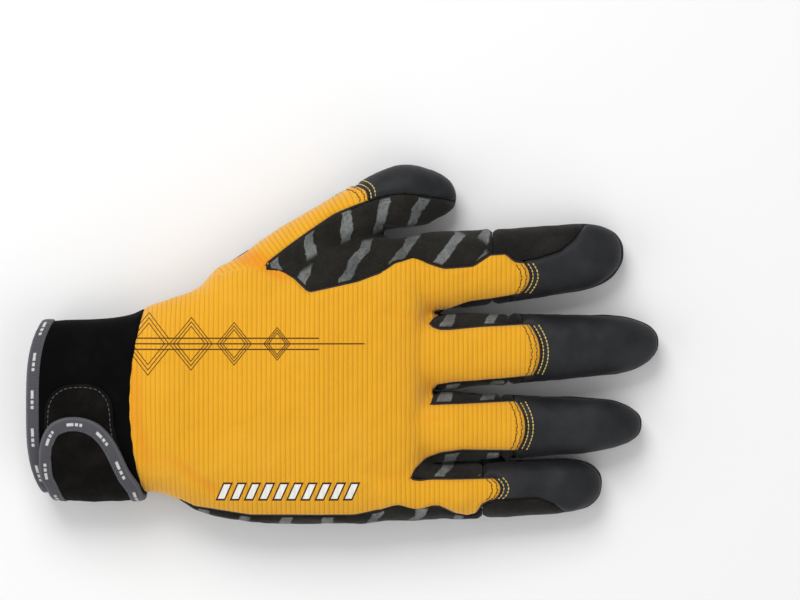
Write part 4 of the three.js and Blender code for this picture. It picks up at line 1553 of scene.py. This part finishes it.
def cuff_arc_table():
    """Arc length round the cuff for each angle, from the middle of the back towards the little finger."""
    section = hand_section(np.array(CUFF_REFERENCE))
    angle = np.linspace(-math.pi, 2 * math.pi, 2401)
    line = section_line(section, angle + math.pi / 2, section["power"])
    line[:, 1] = np.maximum(line[:, 1], section["lift"])
    arc = run_along(line)
    return angle, arc - np.interp(0, angle, arc)


CUFF_ANGLE, CUFF_ARC = cuff_arc_table()
CUFF_ROUND = float(np.interp(math.pi, CUFF_ANGLE, CUFF_ARC) * 2)


def cuff_point(x, q, offset):
    """Points on the cuff's surface, moved out by an offset."""
    x, q, offset = np.broadcast_arrays(np.asarray(x, float), np.asarray(q, float), np.asarray(offset, float))
    turned = np.interp(q, CUFF_ARC, CUFF_ANGLE) + math.pi / 2
    section = hand_section(x)
    power = 2 / section["power"]
    out = (section["half"] + offset) * signed_power(np.cos(turned), power)
    scale = np.where(np.sin(turned) > 0, section["rise"], section["sag"]) + offset
    z = section["middle"] + scale * signed_power(np.sin(turned), power)
    lowest = np.maximum(section["lift"] - offset, 0)
    return np.stack([x, section["y"] + out, np.maximum(z, lowest)], -1)


def cuff_bow(x, q):
    """How far the bowed edge lines lie past a straight line round the wrist."""
    place = cuff_point(x, q, 0.0)
    section = hand_section(np.asarray(x, float))
    share = np.clip(np.abs(place[..., 1] - section["y"]) / section["half"], 0, 1)
    power = lerp(OPENING_POWER, SEAM_POWER, np.clip(np.asarray(x, float) / CUFF_LENGTH, 0, 1))
    return CUFF_BOW * share ** power


def around(side, under=False):
    """The place round the wrist of a plan side, on the back or on the underside."""
    section = hand_section(np.array(CUFF_REFERENCE))
    y = CUFF_MIDDLE * HAND_WIDTH + side * WRIST_WIDTH
    u = float(np.clip((y - section["y"]) / section["half"], -0.999, 0.999))
    turned = math.acos(signed_power(u, float(section["power"]) / 2)) - math.pi / 2
    turned = math.pi - turned if under else turned
    return float(np.interp(turned, CUFF_ANGLE, CUFF_ARC))


def cuff():
    """A sleeve with a wall, waved by wear and gathered a little where it is sewn to the hand."""
    around_count = 220
    q = np.linspace(0, CUFF_ROUND, around_count, endpoint=False)
    shares = np.concatenate([[0.0, 0.006, 0.02], np.linspace(0.045, 0.955, 46), [0.98, 0.994, 1.0]])
    first = BINDING_WIDTH - CUFF_OVERLAP
    x = first + (CUFF_LENGTH + CUFF_OVERLAP - first) * shares
    x, q = np.meshgrid(x, q, indexing="ij")
    x = x + cuff_bow(x, q)
    edge = np.minimum(shares, 1 - shares)[:, None] * (CUFF_LENGTH - first)
    drop = CUFF_ROLL * np.clip(1 - edge, 0, 1) ** 2
    flat = np.stack([x, q * 0.6, q * 0], -1).reshape(-1, 3)
    wave = ripples(flat, 26, 91).reshape(x.shape) * ease(edge / 5)
    gathered = ease((shares - GATHER_START) / (1 - GATHER_START))[:, None]
    gather = GATHER_HEIGHT * np.sin(q / CUFF_ROUND * 2 * math.pi * GATHERS) * gathered
    outer = cuff_point(x, q, wave * CUFF_WAVE + gather - drop)
    inner = cuff_point(x, q, -CUFF_WALL + drop + wave * CUFF_INNER_WAVE)
    rings = np.concatenate([outer, inner[::-1]])
    piece = to_object("cuff", rings.reshape(-1, 3), tube_faces(len(rings), around_count, True))
    repair(piece)
    dress(piece, "neoprene", "neoprene", "cuff")


# The bindings' folded profiles: across the tape and height over the cuff's surface, mm
CUFF_BINDING_PROFILE = [(5.2, -0.1), (5.1, 0.4), (4.6, 0.62), (3.0, 0.74), (1.4, 0.68), (0.5, 0.42),
                        (0.08, -0.3), (0.0, -1.3), (0.08, -2.3), (0.5, -3.0), (1.4, -3.2), (3.0, -3.3),
                        (4.6, -3.2), (5.1, -2.9), (5.2, -2.4), (5.2, -1.3)]
STRAP_BINDING_PROFILE = [(-2.6, 2.3), (-2.5, 3.0), (-2.1, 3.5), (-1.2, 3.72), (0.0, 3.8), (1.2, 3.74),
                         (2.1, 3.6), (2.5, 3.4), (2.6, 3.0), (2.5, 1.5), (0.0, 1.4), (-2.1, 1.45),
                         (-2.5, 1.7)]


def tape(name, rings, closed, profile, run, marks_above):
    """A folded tape from the rings of its profile, with the coordinates of its marks."""
    count, sides, _ = rings.shape
    piece = to_object(name, rings.reshape(-1, 3), tube_faces(count, sides, closed))
    repair(piece)
    across = profile[:, 0] - (profile[:, 0].min() + profile[:, 0].max()) / 2
    set_values(piece, "run", np.repeat(run, sides))
    set_values(piece, "side", np.tile(across, count))
    set_values(piece, "face", np.tile(profile[:, 1] > marks_above, count))
    dress(piece, "tape", "tape", name)


def cuff_binding():
    """The tape round the cuff's opening. Its marks repeat a whole number of times, from the underside."""
    turn = np.linspace(0, 1, 420, endpoint=False)
    q = (turn - 0.5) * CUFF_ROUND
    profile = np.array(CUFF_BINDING_PROFILE)
    bow = cuff_bow(np.full(len(q), BINDING_WIDTH / 2), q)
    ripple = 0.05 * np.sin(q * 1.7) + 0.03 * np.sin(q * 4.1 + 1)
    rings = cuff_point(profile[:, 0] + bow[:, None], q[:, None], profile[:, 1] + ripple[:, None])
    run = turn * round(CUFF_ROUND / DASH_PITCH) * DASH_PITCH
    tape("cuff_binding", rings, True, profile, run, -1)


# Edges of the strap and its patch, nearer the cuff's opening and nearer the hand.
# Columns: side (share of wrist width), under (1 on the underside), along (share of cuff length)
STRAP_LOW = [(-0.05, 0, 0.5), (-0.06, 0, 0.36), (-0.097, 0, 0.24), (-0.165, 0, 0.165), (-0.257, 0, 0.13),
             (-0.38, 0, 0.14), (-0.45, 0, 0.2), (-0.45, 1, 0.28), (0.26, 1, 0.42)]
STRAP_HIGH = [(-0.05, 0, 0.5), (-0.065, 0, 0.64), (-0.105, 0, 0.76), (-0.194, 0, 0.89), (-0.343, 0, 1.02),
              (-0.45, 0, 1.13), (-0.45, 1, 1.17), (0.26, 1, 1.03)]
PATCH_LOW = [(0.13, 0, 0.5), (0.115, 0, 0.36), (0.06, 0, 0.24), (-0.03, 0, 0.19), (-0.3, 0, 0.2),
             (-0.45, 0, 0.3), (-0.45, 1, 0.36), (0.2, 1, 0.45)]
PATCH_TOP = 1.25
STRAP_TOP = 3.25
PATCH_HIGH = [(0.13, 0, 0.5), (0.125, 0, 0.64), (0.1, 0, 0.75), (0.02, 0, 0.85), (-0.15, 0, 0.89),
              (-0.45, 0, 1.06), (-0.45, 1, 1.1), (0.2, 1, 1.0)]


def unrolled(rows):
    """An edge's rows as x and q in millimetres."""
    return np.array([(along * CUFF_LENGTH, around(side, bool(under))) for side, under, along in rows])


def eased_line(points, count):
    """A smooth line of evenly spaced points through some points."""
    run = run_along(points)
    fine = sample(np.column_stack([run, points]), np.linspace(0, run[-1], 1200))[:, 1:]
    along = run_along(fine)
    return along_line(np.linspace(0, along[-1], count), along, fine), along[-1]


def tab_outline(low, high, count):
    """The open outline of a tab: along its low edge to the round end and back along its high edge."""
    rows = np.concatenate([unrolled(low)[::-1], unrolled(high)[1:]])
    return eased_line(rows, count)


def inward(line):
    """Unit directions from an unrolled outline towards its inside."""
    way = unit(np.gradient(line, axis=0))
    left = np.stack([-way[:, 1], way[:, 0]], 1)
    count = len(line)
    middle = (line[count // 4] + line[3 * count // 4]) / 2
    return left * np.sign(np.sum((middle - line[count // 2]) * left[count // 2]))


def tab_field(name, low, high, inset, bottom, top, relief):
    """The flat field of a tab as a closed sheet with a rounded end."""
    half = 120
    line, _ = tab_outline(low, high, 2 * half + 1)
    line = line + inward(line) * inset
    lows = line[:half + 1][::-1]
    highs = line[half:]
    shares = np.concatenate([[0, 0.012, 0.035], np.linspace(0.07, 0.93, 40), [0.965, 0.988, 1]])
    grid = lerp(lows[:, None, :], highs[:, None, :], shares[None, :, None])
    x = grid[..., 0]
    q = grid[..., 1]
    width = np.linalg.norm(highs - lows, axis=1)[:, None]
    edge = np.minimum(shares, 1 - shares) * width
    edge = np.minimum(edge, np.linalg.norm(grid - line[half], axis=2))
    drop = 0.35 * np.clip(1 - edge, 0, 1) ** 2
    flat = np.stack([x, q, q * 0], -1).reshape(-1, 3)
    wave = relief * (ripples(flat, 12, 95) + 0.5 * ripples(flat, 4, 96)).reshape(x.shape) * ease(edge / 3)
    outer = cuff_point(x, q, top + wave - drop)
    inner = cuff_point(x, q, bottom)
    rows, columns = x.shape
    ids = np.arange(rows * columns).reshape(rows, columns)
    faces = grid_quads(rows, columns)
    border = np.concatenate([ids[0], ids[1:, -1], ids[-1, ::-1][1:], ids[::-1, 0][1:-1]])
    rim = np.stack([border, np.roll(border, -1), np.roll(border, -1) + ids.size, border + ids.size], 1)
    points = np.concatenate([outer.reshape(-1, 3), inner.reshape(-1, 3)])
    piece = to_object(name, points, np.concatenate([faces, faces[:, ::-1] + ids.size, rim[:, ::-1]]))
    repair(piece, 0.01)
    dress(piece, "field", "loop_fabric", name)


def strap_binding():
    """The tape round the strap's edge."""
    count = 520
    line, length = tab_outline(STRAP_LOW, STRAP_HIGH, count)
    ways = inward(line)
    line = line + ways * BINDING_WIDTH / 2
    profile = np.array(STRAP_BINDING_PROFILE)
    across = line[:, None] + ways[:, None] * profile[:, :1]
    step = np.arange(count)[:, None]
    ripple = 0.06 * np.sin(step * 0.21) + 0.04 * np.sin(step * 0.53)
    rings = cuff_point(across[..., 0], across[..., 1], profile[:, 1] + ripple)
    tape("strap_binding", rings, False, profile, np.linspace(0, length, count), 2.8)


cuff()
cuff_binding()
tab_field("loop_patch", PATCH_LOW, PATCH_HIGH, 0.0, 0.25, PATCH_TOP, 0.12)
tab_field("strap", STRAP_LOW, STRAP_HIGH, 2.2, 1.55, STRAP_TOP, 0.14)
strap_binding()


# Seam lines and stitches


def loops_of(edges):
    """Closed loops of point numbers from edges that follow each other."""
    follow = dict(edges.tolist())
    loops = []
    while follow:
        start = next(iter(follow))
        loop = [start]
        current = follow.pop(start)
        while current != start and current in follow:
            loop.append(current)
            current = follow.pop(current)
        loops.append(loop)
    return loops


def even_points(points, spacing, closed):
    """Points about evenly spaced along a line."""
    line = np.concatenate([points, points[:1]]) if closed else points
    run = run_along(line)
    count = max(3, int(run[-1] / spacing))
    return along_line(np.linspace(0, run[-1], count, endpoint=not closed), run, line)


def cord_mesh(line, radius, closed, sides=6):
    """Points and faces of a thin round cord along a line."""
    ahead = np.roll(line, -1, axis=0) if closed else np.vstack([line[1:], 2 * line[-1] - line[-2]])
    behind = np.roll(line, 1, axis=0) if closed else np.vstack([2 * line[0] - line[1], line[:-1]])
    way = unit(ahead - behind)
    steep = np.abs(way[:, 2:]) > 0.95
    side = unit(np.cross(way, np.where(steep, [1.0, 0.0, 0.0], UP)))
    up = np.cross(side, way)
    angles = np.linspace(0, 2 * math.pi, sides, endpoint=False)
    points = np.stack([line + radius * (math.cos(a) * side + math.sin(a) * up) for a in angles], 1)
    return points.reshape(-1, 3), tube_faces(len(line), sides, closed)


def joined(name, parts, material):
    """One piece from the points and faces of several."""
    piece = to_object(name, *stacked(parts))
    repair(piece)
    dress(piece, material, "tape")


WELT_RADIUS = 0.5
WELT_SINK = 0.12
WELT_SPACING = 0.9
WELT_CLEARANCE = 1.6
WELT_OVERLAP = 4
SHORTEST_LOOP = 40
SHORTEST_WELT = 8


def free_stretches(line, free):
    """The open stretches of a closed line whose points are free."""
    first = int(np.argmin(free))
    line = np.roll(line, -first, axis=0)
    free = np.roll(free, -first)
    for start in np.flatnonzero(free[1:] & ~free[:-1]) + 1:
        blocked = np.flatnonzero(~free[start:])
        end = start + int(blocked[0]) if len(blocked) else len(line)
        if end - start >= SHORTEST_WELT:
            yield line[start:end]


def knit_welts():
    """Dark lines where the knit is sewn to leather. Where two knits meet there is none."""
    parts = []
    for outer, faces, normals, other in WELTS:
        for loop in loops_of(outer_edges(faces)):
            if len(loop) < SHORTEST_LOOP:
                continue
            line = even_points(outer[loop] - normals[loop] * WELT_SINK, WELT_SPACING, True)
            turned = np.concatenate([line[-WELT_OVERLAP:], line, line[:WELT_OVERLAP]])
            line = smooth_columns(turned, WELT_OVERLAP // 2)[WELT_OVERLAP:-WELT_OVERLAP]
            free = other(line) < -WELT_CLEARANCE
            if free.all():
                parts.append(cord_mesh(line, WELT_RADIUS, True))
            else:
                parts += [cord_mesh(stretch, WELT_RADIUS, False) for stretch in free_stretches(line, free)]
    joined("seam_edge", parts, "welt")


# A stitch swells from a point and back. Columns: along (share of its length), wide (share of its radius)
STITCH_RINGS = [(-0.42, 0.7), (-0.2, 1.0), (0.2, 1.0), (0.42, 0.7)]
STITCH_SIDES = 6
STITCH_FLATNESS = 0.7
STITCH_REACH = 0.4


def stitch_faces():
    """A fan round the first point, the sides between the rings and a fan round the last point."""
    after = [(k + 1) % STITCH_SIDES for k in range(STITCH_SIDES)]
    final = STITCH_SIDES * (len(STITCH_RINGS) - 1) + 1
    faces = [[0, 1 + after[k], 1 + k] for k in range(STITCH_SIDES)]
    for first in range(1, final, STITCH_SIDES):
        for k in range(STITCH_SIDES):
            a = first + k
            b = first + after[k]
            faces.append([a, b, b + STITCH_SIDES, a + STITCH_SIDES])
    return faces + [[final + k, final + after[k], final + STITCH_SIDES] for k in range(STITCH_SIDES)]


STITCH_FACES = stitch_faces()


def stitch_parts(line, normals, length, pitch, radius, raised, zigzag=0.0):
    """Small stitches along a line on a surface."""
    run = run_along(line)
    parts = []
    count = int(run[-1] / pitch)
    for i in range(count):
        at = (i + 0.5) * run[-1] / count
        normal = unit(along_line(at, run, normals))
        way = unit(along_line(at + STITCH_REACH, run, line) - along_line(at - STITCH_REACH, run, line))
        turn = zigzag * (1 if i % 2 else -1)
        way = way * math.cos(turn) + np.cross(normal, way) * math.sin(turn)
        side = np.cross(normal, way)
        centre = along_line(at, run, line) + normal * raised
        points = [centre - way * length / 2]
        for along, wide in STITCH_RINGS:
            for angle in np.linspace(0, 2 * math.pi, STITCH_SIDES, endpoint=False):
                spoke = side * math.cos(angle) + normal * math.sin(angle) * STITCH_FLATNESS
                points.append(centre + way * length * along + spoke * radius * wide)
        points.append(centre + way * length / 2)
        parts.append((np.array(points), STITCH_FACES))
    return parts


# How far over a line the ray starts that looks for the panel there, mm
RAY_START = 4


def settle(line, normals):
    """Moves a line's points along their normals onto the panels' real relief."""
    settled = line.copy()
    for i, (point, normal) in enumerate(zip(line, normals)):
        hit = SURFACE_TREE.ray_cast(Vector(point + normal * RAY_START), Vector(-normal), 2 * RAY_START)[0]
        if hit is not None:
            settled[i] = hit
    return settled


def surface_tree():
    points, polygons = stacked(SURFACES)
    return BVHTree.FromPolygons(points.tolist(), polygons)


SURFACE_TREE = surface_tree()


# The rows of stitches along the ends of the knit.
# Columns: distance past the knit's end in millimetres, zigzag in radians, length, radius
STITCH_ROWS = {
    "yellow": [(1.1, 0.0, 1.25, 0.27), (2.9, 0.0, 1.25, 0.27)],
    "dark": [(-1.6, 0.3, 1.5, 0.2), (-3.6, 0.3, 1.5, 0.2)],
}
END_ROW_COUNT = 31
STITCH_PITCH = 1.4
STITCH_RAISED = 0.1
LINE_SPACING = 0.5


def row_stitches(kind, plan, outer, inner, bow, digit_length, low=0.04, high=0.96):
    """One kind's rows of stitches along the end of a digit's knit, on the panels' upper side."""
    parts = []
    steps = END_ROW_COUNT - 1
    for distance, zigzag, length, radius in STITCH_ROWS[kind]:
        rows = end_line(outer, inner, bow, END_ROW_COUNT)[int(low * steps):math.ceil(high * steps) + 1]
        moved = np.array([plan(at + distance / digit_length, side) for at, side in rows])
        line = even_points(top_of(moved), LINE_SPACING, False)
        normals = normals_of(line)
        settled = settle(line, normals)
        parts += stitch_parts(settled, normals, length, STITCH_PITCH, radius, STITCH_RAISED, zigzag)
    return parts


def digit_stitches():
    for kind in STITCH_ROWS:
        parts = []
        for finger in FINGERS.values():
            length = GLOVE_LENGTH * (finger["tip"] - FINGER_ROOT)
            parts += row_stitches(kind, partial(finger_plan, finger), finger["thumb_edge"],
                                  finger["little_edge"], KNIT_END_BOW, length)
        parts += row_stitches(kind, thumb_plan, THUMB_KNIT_OUTER, THUMB_KNIT_INNER, THUMB_KNIT_BOW, THUMB_RUN,
                              0.14)
        joined(f"stitch_{kind}", parts, f"{kind}_thread")


def cuff_row(x, q, offset, length, pitch, radius, raised=0.05):
    """Stitches along a line over the cuff."""
    line = cuff_point(x, q, offset)
    normals = cuff_point(x, q, offset + 0.5) - line
    normals[:, 2] = np.where(np.linalg.norm(normals, axis=1) < 1e-6, 1, normals[:, 2])
    return stitch_parts(line, unit(normals), length, pitch, radius, raised)


# The box of stitches at the strap's root. Columns: side (share of wrist width), along (share of cuff length)
ROOT_BOX = [(0.24, 0.46), (0.24, 1.0), (0.12, 1.01), (0.12, 0.46), (0.24, 0.46), (0.12, 1.01)]
# The rows along the fields' edges. Columns: low edge, high edge, inset, height over the cuff (mm)
FIELD_ROWS = [(STRAP_LOW, STRAP_HIGH, 4.6, 3.62), (PATCH_LOW, PATCH_HIGH, 1.4, PATCH_TOP)]
# Where the rows lie beside the opening's tape and the seam of the palm, mm
OPENING_ROW = 4.5
PALM_SEAM_ROW = CUFF_LENGTH + 2.2


def cuff_stitches():
    q = np.linspace(0, CUFF_ROUND, 500)
    grey = cuff_row(OPENING_ROW + cuff_bow(np.full(len(q), OPENING_ROW), q), q, 0.62, 1.6, 2.1, 0.2)
    for low, high, inset, offset in FIELD_ROWS:
        outline, _ = tab_outline(low, high, 300)
        outline = outline + inward(outline) * inset
        grey += cuff_row(outline[:, 0], outline[:, 1], offset, 1.5, 2.0, 0.18)
    under = np.linspace(around(-0.4, True), around(0.42, True), 200)
    seam_x = PALM_SEAM_ROW + cuff_bow(np.full(len(under), PALM_SEAM_ROW), under)
    grey += cuff_row(seam_x, under, -0.1, 1.7, 2.2, 0.24, 0.1)
    corners = [np.array([along * CUFF_LENGTH, around(side, True)]) for side, along in ROOT_BOX]
    for start, end in zip(corners, corners[1:]):
        edge = lerp(start, end, np.linspace(0.02, 0.98, 40)[:, None])
        grey += cuff_row(edge[:, 0], edge[:, 1], STRAP_TOP, 1.6, 2.1, 0.2)
    joined("stitch_grey", grey, "grey_thread")


knit_welts()
digit_stitches()
cuff_stitches()


# Floor, light and camera, in metres

FLOOR_HALF = 3.0
FLOOR_DROP = 0.0001
# Columns: place, size, power
LIGHTS = {
    "key": ((-0.25, 0.75, 0.95), 0.7, 9.0),
    "fill": ((0.5, -0.7, 0.8), 1.2, 4.0),
    "front": ((-0.8, -0.2, 0.5), 0.9, 2.5),
}
WORLD_STRENGTH = 0.42
CAMERA_PLACE = (0.022, 0.0178, 1.613)
CAMERA_LENS = 180
CAMERA_SENSOR = 36


def make_floor():
    mesh = bpy.data.meshes.new("floor")
    corners = [(-1, -1), (1, -1), (1, 1), (-1, 1)]
    mesh.from_pydata([(x * FLOOR_HALF, y * FLOOR_HALF, 0) for x, y in corners], [], [(0, 1, 2, 3)])
    floor = bpy.data.objects.new("floor", mesh)
    floor.location.z = -FLOOR_DROP
    bpy.context.scene.collection.objects.link(floor)
    nodes = new_material("floor", 0.9, specular=0.1)
    nodes.join(FLOOR_WHITE, nodes.shader.inputs["Base Color"])
    mesh.materials.append(nodes.material)


def make_light(name, place, size, power):
    data = bpy.data.lights.new(name, "AREA")
    data.size = size
    data.energy = power
    light = bpy.data.objects.new(name, data)
    light.location = place
    light.rotation_euler = (-Vector(place)).to_track_quat("-Z", "Y").to_euler()
    bpy.context.scene.collection.objects.link(light)


def make_world():
    world = bpy.data.worlds.new("world")
    world.use_nodes = True
    background = world.node_tree.nodes["Background"]
    background.inputs["Color"].default_value = (1, 1, 1, 1)
    background.inputs["Strength"].default_value = WORLD_STRENGTH
    bpy.context.scene.world = world
    bpy.context.scene.view_settings.view_transform = "Standard"


def make_camera():
    data = bpy.data.cameras.new("camera")
    data.lens = CAMERA_LENS
    data.sensor_width = CAMERA_SENSOR
    data.clip_start = 0.01
    camera = bpy.data.objects.new("camera", data)
    camera.location = CAMERA_PLACE
    bpy.context.scene.collection.objects.link(camera)
    bpy.context.scene.camera = camera


make_floor()
for name, values in LIGHTS.items():
    make_light(name, *values)
make_world()
make_camera()
